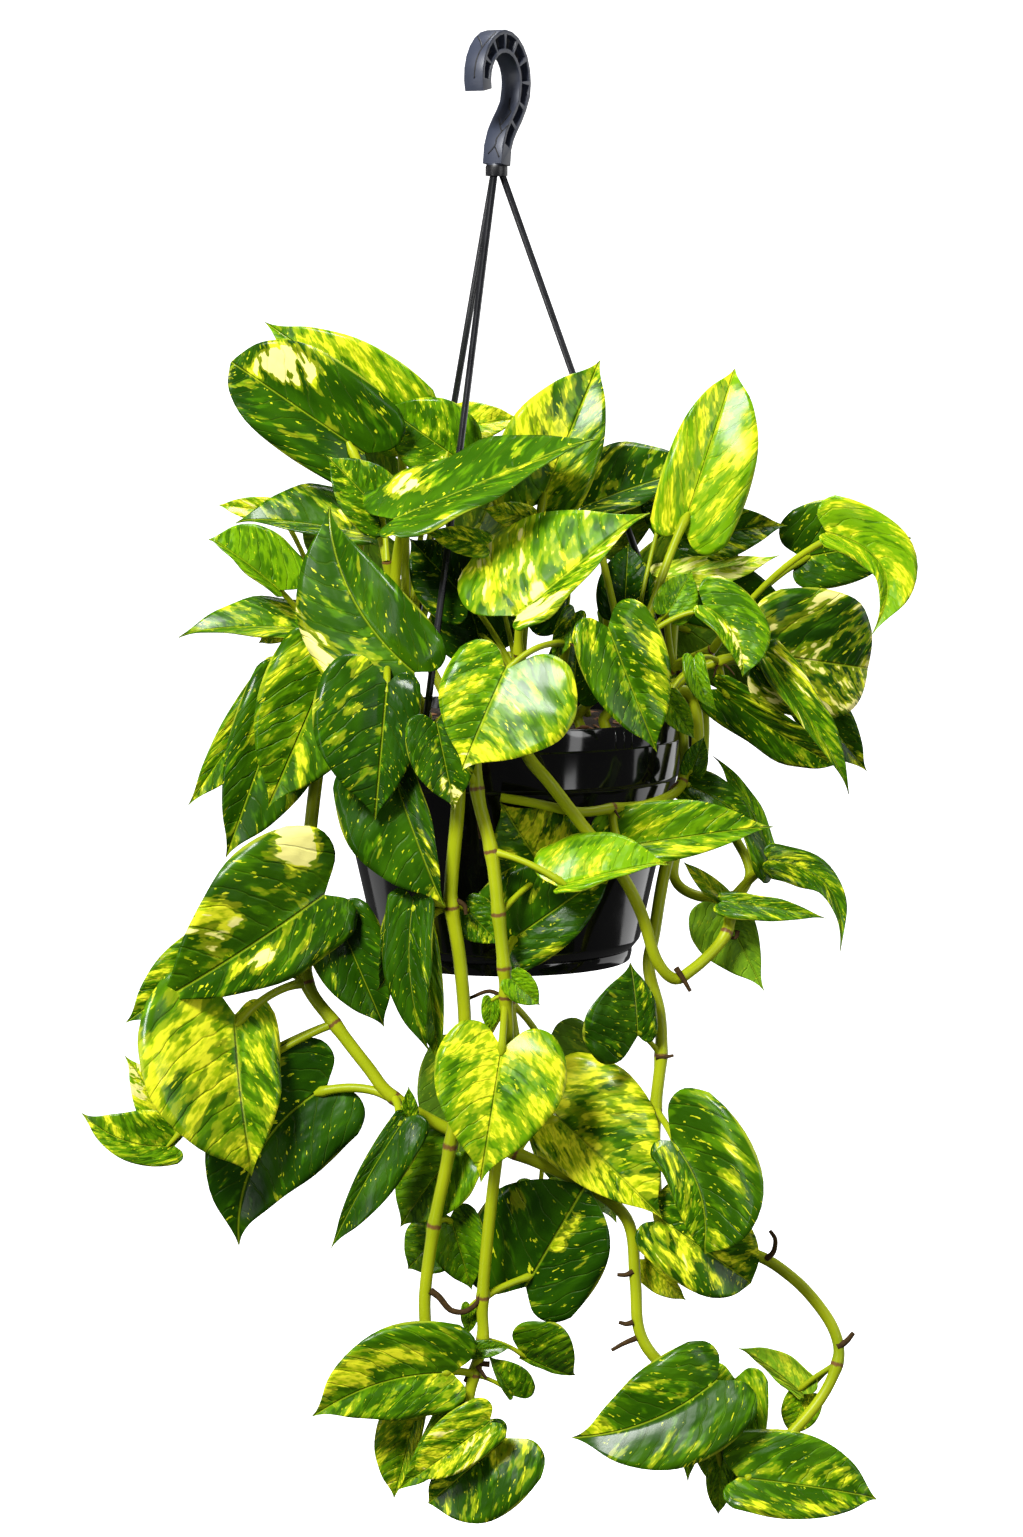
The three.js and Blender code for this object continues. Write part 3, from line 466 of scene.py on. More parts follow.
# %% The pot
pot = turned("pot_shell", [
    (0, RIM_TOP - BASE_DROP),
    (BASE_RADIUS, RIM_TOP - BASE_DROP),
    (CHAMFER_RADIUS, RIM_TOP - CHAMFER_DROP),
    (UPPER_RADIUS - LEDGE_STEP, RIM_TOP - LEDGE_DROP - LEDGE_STEP),
    (UPPER_RADIUS, RIM_TOP - LEDGE_DROP),
    (RIM_RADIUS - WALL, RIM_TOP - BAND_DROP),
    (RIM_RADIUS, RIM_TOP - BAND_DROP),
    (RIM_RADIUS, RIM_TOP),
    (RIM_RADIUS - WALL, RIM_TOP),
    (UPPER_RADIUS - WALL, RIM_TOP - LEDGE_DROP),
    (CHAMFER_RADIUS - WALL, RIM_TOP - CHAMFER_DROP),
    (BASE_RADIUS - WALL, RIM_TOP - BASE_DROP + WALL),
    (0, RIM_TOP - BASE_DROP + WALL),
], 0.8, pot_finish)
stands_for(pot, "pot")

# %% The saucer
SAUCER_DROP = 136.1
SAUCER_RADIUS = 68
SAUCER_WALL = 2
SAUCER_FLARE = 1
SAUCER_GAP = 0.3
saucer_foot = RIM_TOP - SAUCER_DROP
saucer_lip = RIM_TOP - BASE_DROP - SAUCER_GAP
saucer = turned("saucer_ring", [
    (0, saucer_foot),
    (SAUCER_RADIUS, saucer_foot),
    (SAUCER_RADIUS + SAUCER_FLARE, saucer_foot + 2 * SAUCER_WALL),
    (SAUCER_RADIUS + SAUCER_FLARE, saucer_lip),
    (SAUCER_RADIUS + SAUCER_FLARE - SAUCER_WALL, saucer_lip),
    (SAUCER_RADIUS - SAUCER_WALL, saucer_foot + SAUCER_WALL),
    (0, saucer_foot + SAUCER_WALL),
], 0.6, pot_finish)
stands_for(saucer, "saucer")
print("pot and saucer:", len(pot.data.polygons) + len(saucer.data.polygons), "faces")

# %% [markdown]
# ## The potting soil
# Potting soil is dark brown crumbs with pieces of orange bark. The crumbs are a surface pushed up
# and down by noise. The bark is what repeats, so Geometry Nodes scatter one rough chip over the
# surface with a fixed seed, and turn the result into plain geometry.

# %% Soil and bark finishes
soil_finish = Finish("potting_soil", Roughness=0.95)
spot = soil_finish.place()
crumb = soil_finish.noise(spot, 260, detail=6, rough=0.7)
clod = soil_finish.noise(spot, 60, detail=3)
light = soil_finish.step(crumb, 0.45, 0.75)
moist, dry = colour(0.018, 0.010, 0.006), colour(0.14, 0.075, 0.04)
soil_finish.use("Base Color", soil_finish.blend(light * clod, moist, dry))
soil_finish.bump(crumb, 0.002)

bark_finish = Finish("orange_bark", Roughness=0.85)
spot = bark_finish.place()
stripe = bark_finish.noise(spot, 420, detail=4)
chip_tone = bark_finish.noise(spot, 90, detail=1)
bark = bark_finish.blend(chip_tone, colour(0.16, 0.06, 0.02), colour(0.42, 0.19, 0.07))
bark_finish.use("Base Color", bark_finish.blend(stripe * 0.6, bark, colour(0.05, 0.02, 0.01)))
bark_finish.bump(stripe, 0.0006)

# %% A crumbly mound
SOIL_TOP = RIM_TOP - SOIL_DROP
SOIL_FLOOR = -474
SOIL_SIDE = RIM_RADIUS - WALL - 1.0
LEDGE_SIDE = UPPER_RADIUS - WALL - 0.8
FLOOR_SIDE = BASE_RADIUS - WALL - 0.7
SINK = 1.5
DOME = 2.0
SOIL_RINGS = 34
SIDE_RINGS = 3
CHIP_ROOM = 6


def crumble(x, y):
    """How far noise lifts the surface: soft clods, and small crumbs on them."""
    return 2.6 * field.noise(Vector((x, y, 3.0)) / 9) + 1.3 * field.noise(Vector((x, y, 8.0)) / 3)


def soil_surface():
    """The filling: a turned body whose top is pushed up and down by noise, and a little domed."""
    section = [(0.02, SOIL_FLOOR), (FLOOR_SIDE, SOIL_FLOOR), (LEDGE_SIDE, RIM_TOP - LEDGE_DROP)]
    section += [(SOIL_SIDE * (1 - i / SOIL_RINGS), SOIL_TOP - SINK) for i in range(SOIL_RINGS)]
    points = []
    for row, (radius, z) in enumerate(section):
        for i in range(AROUND):
            turn = 2 * math.pi * i / AROUND
            x, y = radius * math.cos(turn), radius * math.sin(turn)
            lift = 0.0
            if row > SIDE_RINGS:
                lift = crumble(x, y) + DOME * (1 - radius / SOIL_SIDE)
            points.append((POT_X + x, y, z + lift))
    faces = ring_faces(0, len(section), AROUND)
    faces.append(tuple(range(AROUND))[::-1])
    faces.append(tuple(range(len(points) - AROUND, len(points))))
    piece = piece_from("soil_filling", points, faces, soil_finish)
    bark = piece.data.attributes.new("bark", "FLOAT", "POINT")
    away = np.hypot(np.array(points)[:, 0] - POT_X, np.array(points)[:, 1])
    on_top = np.arange(len(points)) >= SIDE_RINGS * AROUND
    bark.data.foreach_set("value", (on_top & (away < SOIL_SIDE - CHIP_ROOM)).astype(np.float32))
    return piece


# %% A chip of bark, and the nodes that scatter it
def bark_chip():
    """A flat, rough-edged chip, about 9 mm long."""
    points = [(x * (1 + 0.2 * math.sin(5 * y)), y, z * (1 - 0.3 * abs(x) / 5)) for x, y, z in [
        (-5, -2.4, -0.8), (5, -2.0, -0.9), (4.4, 2.6, -0.7), (-4.1, 2.2, -0.9),
        (-4.4, -2.0, 0.9), (4.2, -1.7, 1.1), (3.8, 2.1, 0.8), (-3.5, 1.8, 1.0),
    ]]
    faces = [(3, 2, 1, 0), (4, 5, 6, 7), (0, 1, 5, 4), (1, 2, 6, 5), (2, 3, 7, 6), (3, 0, 4, 7)]
    return bevelled(piece_from("bark_chip", points, faces, bark_finish, smooth=False), 0.5, 1)


def scatter_tree(chip):
    """Nodes that scatter a chip over a surface, where its bark value is 1."""
    tree = Growth("scatter bark", Density="Float", Seed="Int")
    density = tree.given("Density") * tree.attribute("bark")
    spread = "DistributePointsOnFaces"
    spots = tree.change(spread, tree.given(), Density=density, Seed=tree.given("Seed"))
    size = tree.add("FunctionNodeRandomValue", {}, {2: 0.35, 3: 1.15}, outlet=1)
    least, most = (-0.5, -0.5, 0), (0.5, 0.5, 6.28)
    turn = tree.add("FunctionNodeRandomValue", {"data_type": "FLOAT_VECTOR"}, {0: least, 1: most})
    shape = tree.add("GeometryNodeObjectInfo", {}, {"Object": chip}, outlet="Geometry")
    chips = tree.change("InstanceOnPoints", spots, Instance=shape, Scale=size, Rotation=turn)
    chips = tree.change("RealizeInstances", chips)
    chips = tree.change("SetMaterial", chips, Material=bark_finish.material)
    return tree.ends_in(tree.change("JoinGeometry", [tree.given(), chips]))


# %% Scatter the bark
soil = soil_surface()
chip = bark_chip()
soil = grown(soil, scatter_tree(chip), Density=9000.0, Seed=4)
bpy.data.objects.remove(chip)
stands_for(soil, "soil")
print("soil and bark:", len(soil.data.polygons), "faces")

# %% [markdown]
# ## The hook
# The hook is one moulding with an I-section: rails along both sides, a thin web between them, and
# ribs that cross its cells. Its solid has all of that, so the piece starts as a copy of the solid.
# The copy's loose triangles are merged and its edges are rounded.

# %% Copy and round the hook
WELD = 0.02
HOOK_ROUNDING = 0.35


def copied(node, name, finish):
    """A merged copy of a solid's mesh, as a piece of its own."""
    shell = bmesh.new()
    shell.from_mesh(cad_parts[node].data)
    bmesh.ops.remove_doubles(shell, verts=shell.verts, dist=WELD * MM)
    bmesh.ops.dissolve_limit(shell, angle_limit=math.radians(1), verts=shell.verts, edges=shell.edges)
    mesh = bpy.data.meshes.new(name)
    shell.to_mesh(mesh)
    shell.free()
    mesh.materials.clear()
    mesh.materials.append(finish.material)
    mesh.shade_smooth()
    piece = bpy.data.objects.new(name, mesh)
    bpy.context.collection.objects.link(piece)
    return piece


hook = bevelled(copied("hanger_hook", "hook_body", hanger_finish), HOOK_ROUNDING)
stands_for(hook, "hanger_hook")

# %% [markdown]
# ## The straps
# Each strap is a thin round rod of plastic with a clip that grips the rim. The solid has the clip's
# real section. The rod is eight-sided there, so it gets rounded edges like the hook. Its top is drawn
# up into the collar, as the real straps are moulded into it.

# %% The three straps
INTO_COLLAR = 4
TOP_END = 2
ROD_ROUNDING = 0.5

for side in ("right", "back_left", "front_left"):
    strap = copied("strap_" + side, "strap_piece_" + side, strap_finish)
    top = max(corner.co.z for corner in strap.data.vertices)
    for corner in strap.data.vertices:
        if corner.co.z > top - TOP_END * MM:
            corner.co.z += INTO_COLLAR * MM
    stands_for(bevelled(strap, ROD_ROUNDING, 3), "strap_" + side)

# %% [markdown]
# ## Variegated leaves
# A golden pothos leaf is deep green, splashed with yellow and cream. The splashes are streaks that
# run out along the side veins, from hair-thin flecks to whole sectors, and every leaf has its own
# amount. So the pattern is worked out in the leaf's own coordinates: across from the midrib and
# along it. A side vein keeps nearly the same value of along - 0.4 * across ** 1.4, and noise that is
# stretched along that line gives streaks. Each leaf carries its tone, its yellow, its cream and a
# seed, and each of its points how much a listed patch covers it, and whether it is under.

# %% The leaf's own coordinates
MAP_WIDTH = 2.2
MAP_LENGTH = 1.2
MAP_START = 0.15

gloss = dict(IOR=1.45, Specular_IOR_Level=0.08, Coat_Weight=0.15, Coat_Roughness=0.16)
leaf_finish = Finish("variegated_leaf", **gloss)
blend, step, part, noise = leaf_finish.blend, leaf_finish.step, leaf_finish.part, leaf_finish.noise
leaf_place = leaf_finish.add("ShaderNodeUVMap", {"uv_map": "leaf"})
across = (part(leaf_place, 0) - 0.5) * MAP_WIDTH
along = part(leaf_place, 1) * MAP_LENGTH - MAP_START
out = abs(across)
hand = step(across, -0.001, 0.001)
carried = ("tone", "yellow", "cream", "seed", "splash", "under")
tone, yellow, cream, seed, splash, under = (leaf_finish.attribute(name) for name in carried)
vein = along - 0.4 * out ** 1.4

# %% The streaks
def streak(wide, long, shift):
    """Noise stretched along the side veins, different on each leaf and each half."""
    spot = leaf_finish.join(vein * wide, out * long, seed * 37 + hand * 5.3 + shift)
    return noise(spot, 1.0)


sector = streak(5.0, 2.0, 0.0)
band = streak(11, 3.6, 11.0)
fleck = streak(30, 10.0, 23.0)
dot = streak(36, 9.0, 97.0)
ragged = (sector * 0.56 + band * 0.32 + fleck * 0.12 - 0.5) * 2.3 + 0.5
patch = splash * (0.4 + 1.2 * band)
yellow_edge = 0.99 - 0.66 * yellow - 0.42 * patch
yellow_mask = step(ragged, yellow_edge - 0.02, yellow_edge + 0.04)
speck_edge = 0.695 - 0.05 * yellow
speck_mask = step(dot, speck_edge - 0.015, speck_edge + 0.02)
paler = streak(9, 1.3, 41.0) * 0.6 + band * 0.4
cream_heart = leaf_finish.maths("MAXIMUM", patch - 0.72, 0.0)
cream_edge = 0.76 - 0.42 * cream - 1.6 * cream_heart
cream_mask = step(paler, cream_edge - 0.015, cream_edge + 0.03)

# %% The greens, yellows and cream
cloud = streak(3.0, 2.0, 67.0)
marble = sector * 0.3 + band * 0.4 + streak(22, 4.0, 83.0) * 0.3
deep = blend(tone, colour(0.006, 0.036, 0.0003), colour(0.055, 0.17, 0.001))
fresh = blend(tone, colour(0.028, 0.12, 0.0008), colour(0.17, 0.36, 0.002))
mid_edge = 0.62 - 0.2 * yellow - 0.12 * tone
green = blend(step(marble, mid_edge - 0.03, mid_edge + 0.05), deep, fresh)
green = blend(step(cloud, 0.42, 0.7) * 0.45, green, fresh)
old_lime, new_lime = colour(0.34, 0.46, 0.002), colour(0.76, 0.77, 0.022)
lime = blend(step(fleck, 0.35, 0.62), old_lime, new_lime)
butter = colour(0.93, 0.86, 0.27)
rim_of_patch = step(ragged, yellow_edge - 0.16, yellow_edge - 0.10)
skin = blend(rim_of_patch * 0.28, green, lime)
skin = blend(speck_mask * 0.85, skin, lime)
skin = blend(yellow_mask, skin, lime)
skin = blend(cream_mask * yellow_mask, skin, butter)

# %% Midrib, side veins, margin and underside
midrib = 1 - step(out, 0.006, 0.03)
warp = noise(leaf_finish.join(across * 2.5, along * 3.5, seed * 19), 1.0, detail=2)
comb = abs(leaf_finish.maths("PINGPONG", vein * 7.0 + warp * 0.9 + seed * 3, 0.5))
side_vein = (1 - step(comb, 0.0, 0.07)) * step(out, 0.02, 0.1)
edge = step(out, 0.955, 0.985)
pale_green = colour(0.34, 0.46, 0.012)
skin = blend(side_vein * 0.045, skin, pale_green)
skin = blend(midrib * 0.5, skin, pale_green)
skin = blend(edge * 0.5, skin, colour(0.50, 0.56, 0.03))
skin = blend(under * 0.4, skin, colour(0.17, 0.31, 0.02))
leaf_finish.use("Base Color", skin)
leaf_finish.use("Roughness", 0.26 + cloud * 0.16 + under * 0.2 + yellow_mask * 0.06)
relief = side_vein * -0.25 + comb * 0.35 + midrib * -1.2 + fleck * 0.1 + warp * 1.6
leaf_finish.bump(relief, 0.0018, 0.7)
print("leaf finish:", len(leaf_finish.tree.nodes), "nodes")

# %% [markdown]
# ## Stems, petioles and roots
# A pothos stem is chartreuse, with fine lengthwise lines, and a brown scar ring at each node. The
# thin leaf stalks are the same tissue but greener. Short aerial roots stand out of the nodes, brown
# and corky.

# %% Stem and root finishes
stem_finish = Finish("chartreuse_stem", Roughness=0.36, IOR=1.45, Specular_IOR_Level=0.2)
spot = stem_finish.place()
knot = stem_finish.attribute("knot")
slow = stem_finish.noise(spot, 30, detail=2)
fine = stem_finish.noise(spot, 700, detail=3)
stem_green = stem_finish.blend(slow, colour(0.17, 0.25, 0.002), colour(0.46, 0.51, 0.008))
pale_lines = stem_finish.step(fine, 0.62, 0.75) * 0.35
stem_green = stem_finish.blend(pale_lines, stem_green, colour(0.42, 0.46, 0.04))
scar = stem_finish.step(knot + fine * 0.5, 0.9, 1.15)
stem_finish.use("Base Color", stem_finish.blend(scar, stem_green, colour(0.16, 0.08, 0.02)))
stem_finish.bump(fine * 0.6 + slow, 0.0004, 0.4)

root_finish = Finish("corky_root", Roughness=0.8, Specular_IOR_Level=0.1)
spot = root_finish.place()
fine = root_finish.noise(spot, 500, detail=3)
bark_brown, pale_brown = colour(0.012, 0.008, 0.003), colour(0.09, 0.05, 0.015)
root_finish.use("Base Color", root_finish.blend(fine, bark_brown, pale_brown))
root_finish.bump(fine, 0.0006)

# %% [markdown]
# ## The vines, written down
# Each vine has its foot in the soil, the points of its stem, and its leaves, in millimetres. A place
# is x and z in the upright plane through the pot's axis, then how far it stands in front of that
# plane. A vine with a turn is written as seen from another side of the pot. A leaf has the number of
# the stem point that its stalk grows from, where 0 to 2 are the foot's, then the places of its base
# and its tip, and the widths of its left and right halves as they are seen, as shares of its length,
# or one number for both. Then come, where they differ from LEAF_REST, its roll about the midrib and
# the fold of its halves in degrees, the bow of its midrib up and sideways, and how far its widest
# place is moved to the tip.
#
# No two leaves of a golden pothos are alike. For each leaf, in the same order, the looks give its
# tone from deep to light green, how much of it is yellow, how much of the yellow is cream, and for
# some a few patches: each has its place across and along the blade, its two half sizes and its
# strength. Vines at the back have none, and draw their looks by luck.
#
# A pothos also makes short brown roots at its nodes. Most are stubs, and one on a front vine is a
# long curl. Vines in front get theirs listed one by one: how thick each is, and its path.

# %% How a vine is written
LEAF_REST = (0, 12, 0.05, 0, 0)
VINES = {}


def vine(name, **entry):
    VINES[name] = entry


# %% The long vines
vine("vine_front_left", foot=(-24, 62), radius=4, stem=[
    (-26, -345, 90), (-24, -358, 106), (-21, -400, 113), (-25, -450, 112), (-25, -466, 111),
    (-20, -500, 108), (-18, -545, 103), (-26, -600, 98), (-35, -645, 94), (-40, -682, 92), (-40, -703, 92),
], leaves=[
    (4, (-57, -390, 114), (-29, -466, 121), (0.14, 0.47), 15, 14),
    (7, (-46, -462, 115), (-38, -548, 117), (0.14, 0.18), 20, 20, 0.06, 0.05),
    (7, (-49, -462, 104), (-66, -514, 102), (0.25, 0.19), -25, 15, 0.1),
    (10, (-24, -604, 82), (-54, -646, 76), (0.39, 0.42), 15, 8),
    (11, (-26, -640, 80), (-14, -682, 74), 0.35, 0, 8),
    (11, (-30, -650, 66), (-50, -670, 58), (0.52, 0.55), 10, 8),
    (7, (-17, -467, 100), (2, -487, 102), 0.45, 0, 8),
    (7, (-43, -472, 106), (-31, -558, 108), (0.1, 0.16)),
], looks=[
    (0.15, 0.22, 0.2, (-0.35, 0.7, 0.3, 0.3, 0.7)), (0.15, 0.12, 0.1, (0.0, 0.5, 0.12, 0.5, 0.6)),
    (0.12, 0.1, 0.1), (0.75, 0.2, 0.0), (0.7, 0.1, 0.0), (0.6, 0.1, 0.0), (0.3, 0.3, 0.2), (0.7, 0.3, 0.1),
], roots=[
    (2.0, ((-37, -682, 94), (-32, -686, 94), (-26, -693, 94), (-18, -694, 94), (-11, -689, 94),
        (-9, -683, 94))),
    (1.6, ((-23, -462, 112), (-18, -465, 112), (-17, -470, 112))),
])
vine("vine_front", foot=(-6, 70), radius=3.8, stem=[
    (-10, -345, 94), (-12, -360, 107), (-11, -400, 111), (-3, -435, 113), (1, -470, 114), (4, -500, 114),
    (5, -516, 112), (6, -550, 104), (2, -590, 98), (-4, -640, 94), (-8, -686, 92), (-8, -710, 92),
    (-13, -730, 93), (-17, -748, 94),
], leaves=[
    (5, (-33, -364, 135), (-23, -412, 136), 0.39),
    (6, (34, -455, 123), (95, -441, 120), (0.42, 0.06), -45, 20, 0.03),
    (8, (6, -486, 94), (67, -443, 90), (0.45, 0.27)),
    (9, (3, -545, 114), (-9, -621, 125), (0.5, 0.47), 0, 10, 0.06, 0, -0.3),
    (9, (8, -506, 119), (24, -521, 116), 0.39),
    (9, (-3, -517, 110), (-4, -536, 106), 0.27),
    (13, (16, -680, 76), (50, -621, 91), (0.6, 0.46), 0, 4, 0, 0, 0.6),
    (13, (-15, -690, 88), (-16, -707, 86), 0.29),
    (14, (-15, -716, 96), (9, -714, 100), 0.22),
    (14, (14, -719, 80), (44, -731, 76), (0.7, 0.08), 30, 15),
    (15, (9, -742, 90), (-5, -719, 96), (0.12, 0.5), 0, 14),
    (15, (-25, -729, 104), (-104, -755, 108), (0.29, 0.35), -15, 14, 0.05, 0.1),
    (16, (-45, -752, 86), (-58, -802, 86), (0.12, 0.38)),
    (16, (-22, -748, 97), (-57, -797, 98), 0.19, 0, 16, 0.05, -0.08),
    (16, (-4, -757, 108), (-48, -790, 110), (0.25, 0.32), -10, 14, 0.05, 0, 0.3),
    (16, (5, -766, 96), (-39, -804, 96), (0.56, 0.25), 0, 12, 0.05, 0, 0.6),
    (7, (29, -451, 88), (2, -408, 97), (0.5, 0.6), 0, 8, 0.03),
], looks=[
    (0.2, 0.2, 0.5, (0.1, 0.85, 0.5, 0.25, 0.8)), (0.9, 0.5, 0.1), (0.15, 0.25, 0.2),
    (0.62, 0.66, 0.2, (0.1, 0.3, 0.2, 0.45, 0.4)), (0.9, 0.2, 0.0), (0.9, 0.2, 0.0),
    (0.1, 0.22, 0.15, (0.1, 0.4, 0.16, 0.25, 0.45)), (0.7, 0.3, 0.0), (0.5, 0.2, 0.0), (0.5, 0.25, 0.0),
    (0.5, 0.2, 0.0), (0.45, 0.42, 0.2, (0.45, 0.6, 0.3, 0.4, 0.6)), (0.6, 0.6, 0.2), (0.6, 0.5, 0.1),
    (0.45, 0.62, 0.4), (0.2, 0.42, 0.2), (0.3, 0.5, 0.1, (0.4, 0.4, 0.4, 0.3, 0.6)),
], roots=[
    (1.7, ((-4, -724, 94), (-11, -724, 94), (-15, -728, 94), (-18, -734, 94))),
    (1.4, ((-11, -725, 97), (-6, -732, 97))),
    (1.3, ((5, -517, 100), (-4, -513, 100), (-13, -516, 100), (-19, -519, 100))),
    (1.2, ((-8, -406, 112), (-10, -419, 112), (-9, -428, 112))),
])
vine("vine_front_right", foot=(18, 66), radius=3.6, stem=[
    (14, -345, 92), (13, -358, 106), (16, -380, 111), (30, -398, 112), (46, -419, 105), (68, -447, 101),
    (80, -470, 98), (88, -495, 94), (98, -506, 88), (108, -501, 82), (120, -490, 76), (127, -480, 71),
    (129, -471, 68),
], leaves=[
    (15, (124, -465, 66), (148, -513, 62), (0.42, 0.24), 180, -8, 0.05, 0, -0.3),
    (15, (124, -463, 76), (182, -472, 80), (0.11, 0.14), -20, 16),
    (14, (128, -464, 58), (102, -440, 54), 0.16, 0, 16, 0.1),
], looks=[
    (0.92, 0.2, 0.0), (0.35, 0.42, 0.1), (0.9, 0.6, 0.1),
], roots=[
    (1.7, ((99, -500, 90), (103, -506, 90), (107, -513, 90))),
])
vine("vine_right_long", foot=(74, 18), radius=3.6, stem=[
    (102, -346, 20), (110, -362, 22), (108, -400, 32), (94, -440, 50), (87, -480, 62), (84, -500, 68),
    (90, -525, 72), (91, -549, 75), (88, -580, 79), (88, -615, 80), (92, -645, 79), (110, -659, 76),
    (142, -661, 74), (165, -675, 74), (182, -694, 76), (190, -710, 78), (190, -724, 80), (182, -742, 84),
    (168, -760, 90), (150, -778, 95), (141, -787, 98),
], leaves=[
    (10, (78, -538, 86), (74, -497, 88), (0.72, 0.28), 20),
    (11, (97, -597, 106), (115, -662, 116), (0.54, 0.24), 20, 16, 0.05, -0.14, 0.5),
    (13, (92, -642, 90), (142, -678, 90), (0.45, 0.38), 0, 12, 0.06, 0, 0.8),
    (13, (82, -664, 66), (106, -688, 62), (0.15, 0.3), 0, 12, 0.06),
    (19, (171, -741, 74), (135, -714, 68), (0.28, 0.08), 150, 16, 0.06),
    (19, (173, -742, 66), (164, -764, 60), 0.42, 0, 12, 0.08),
    (23, (135, -789, 102), (214, -801, 100), (0.37, 0.235), -12, 12, 0.05, 0, 0.3),
], looks=[
    (0.2, 0.25, 0.1, (0.35, 0.55, 0.12, 0.4, 0.5)), (0.35, 0.38, 0.3, (0.45, 0.2, 0.2, 0.3, 0.6)),
    (0.2, 0.55, 0.2), (0.9, 0.9, 0.1), (0.95, 0.62, 0.1), (0.7, 0.5, 0.1),
    (0.35, 0.38, 0.1, (0.5, 0.5, 0.3, 0.35, 0.4)),
], roots=[
    (2.1, ((190, -714, 80), (195, -711, 80), (199, -706, 80))),
    (1.7, ((150, -664, 76), (154, -660, 77), (155, -653, 78), (152, -648, 78))),
    (1.3, ((88, -550, 78), (93, -550, 78), (98, -549, 78))),
])
vine("vine_left_long", foot=(-52, 34), radius=3.8, stem=[
    (-86, -346, 52), (-94, -362, 58), (-100, -400, 62), (-104, -440, 66), (-104, -478, 72),
    (-105, -508, 76), (-90, -531, 80), (-72, -555, 83), (-57, -573, 85), (-24, -592, 83), (10, -604, 82),
    (45, -620, 81), (72, -641, 81), (77, -675, 82), (79, -703, 84), (88, -720, 86), (105, -734, 88),
    (117, -741, 90),
], leaves=[
    (7, (-95, -459, 98), (-192, -522, 112), (0.255, 0.405), -15, 12, 0.06, 0, -0.3),
    (8, (-150, -490, 74), (-206, -531, 80), 0.29),
    (8, (-145, -526, 92), (-135, -618, 104), (0.27, 0.58), -20, 14, 0.06, 0.04),
    (9, (-180, -592, 70), (-206, -549, 72), 0.25, 20, 14),
    (9, (-179, -600, 88), (-231, -581, 92), (0.2, 0.36), 0, 12, 0.05, -0.12),
    (7, (-88, -472, 88), (-62, -534, 88), (0.3, 0.34)),
    (11, (-94, -566, 74), (-144, -658, 76), 0.33, 0, 12, 0.05, 0.15),
    (11, (-51, -584, 103), (-93, -659, 104), (0.2, 0.08), 0, 20, 0.05, 0.02),
    (11, (-48, -586, 98), (-49, -566, 100), 0.24),
    (13, (30, -581, 72), (92, -641, 98), (0.52, 0.24), -8, 14),
    (20, (123, -733, 98), (41, -766, 100), (0.37, 0.33), 0, 12, 0.05, -0.085),
    (20, (121, -745, 99), (107, -793, 100), 0.14, 0, 20, 0.05, 0.08),
    (20, (133, -732, 75), (127, -799, 73), (0.3, 0.33), 0, 12, 0.06, 0, 0.4),
    (20, (125, -780, 78), (124, -811, 74), 0.24),
], looks=[
    (0.22, 0.36, 0.4, (0.8, -0.05, 0.45, 0.2, 1.2), (0.5, 0.6, 0.35, 0.16, 0.7),
        (-0.3, 0.5, 0.16, 0.14, 1.0)),
    (0.4, 0.5, 0.2), (0.48, 0.6, 0.2, (0.45, 0.3, 0.35, 0.3, 0.45)), (0.85, 0.85, 0.5), (0.5, 0.5, 0.1),
    (0.15, 0.1, 0.0), (0.1, 0.2, 0.1), (0.15, 0.08, 0.0), (0.6, 0.3, 0.0), (0.3, 0.78, 0.15),
    (0.25, 0.28, 0.2, (-0.1, 0.8, 0.5, 0.2, 0.35)), (0.7, 0.3, 0.1), (0.6, 0.45, 0.1), (0.8, 0.3, 0.0),
], roots=[
    (1.7, ((76, -671, 84), (72, -673, 84), (67, -673, 84))),
    (1.7, ((76, -700, 86), (72, -701, 86), (68, -700, 86))),
    (1.7, ((78, -709, 86), (71, -712, 86), (64, -716, 86))),
])
vine("vine_across", foot=(60, 42), radius=3, stem=[
    (92, -344, 42), (101, -360, 46), (102, -396, 50), (86, -408, 70), (64, -411, 90), (45, -413, 98),
    (20, -408, 104), (2, -405, 105),
], leaves=[
    (5, (103, -398, 44), (143, -424, 54), (0.25, 0.2), -20, 18, 0.2),
    (5, (107, -391, 52), (114, -371, 54), 0.34, 0, 14),
    (7, (62, -434, 90), (153, -421, 84), (0.25, 0.13), -12, 14),
], looks=[
    (0.25, 0.2, 0.1), (0.45, 0.1, 0.0), (0.6, 0.5, 0.1),
])
vine("vine_side_right", foot=(80, -20), radius=3.2, stem=[
    (108, -340, -24), (114, -362, -22), (111, -400, 4), (99, -436, 28), (99, -452, 34), (112, -460, 38),
    (131, -460, 40), (139, -450, 36), (138, -440, 30), (131, -427, 22),
], leaves=[
    (9, (152, -446, 42), (120, -381, 36), (0.13, 0.09), 30, 20, 0.05, 0.04),
    (9, (150, -440, 50), (190, -491, 54), (0.16, 0.12), -35, 24, 0.06, -0.27, -0.4),
], looks=[
    (0.5, 0.2, 0.0), (0.35, 0.4, 0.2, (0.0, 0.15, 0.6, 0.2, 0.4)),
], roots=[
    (1.3, ((133, -479, 70), (132, -483, 70), (128, -483, 70))),
])

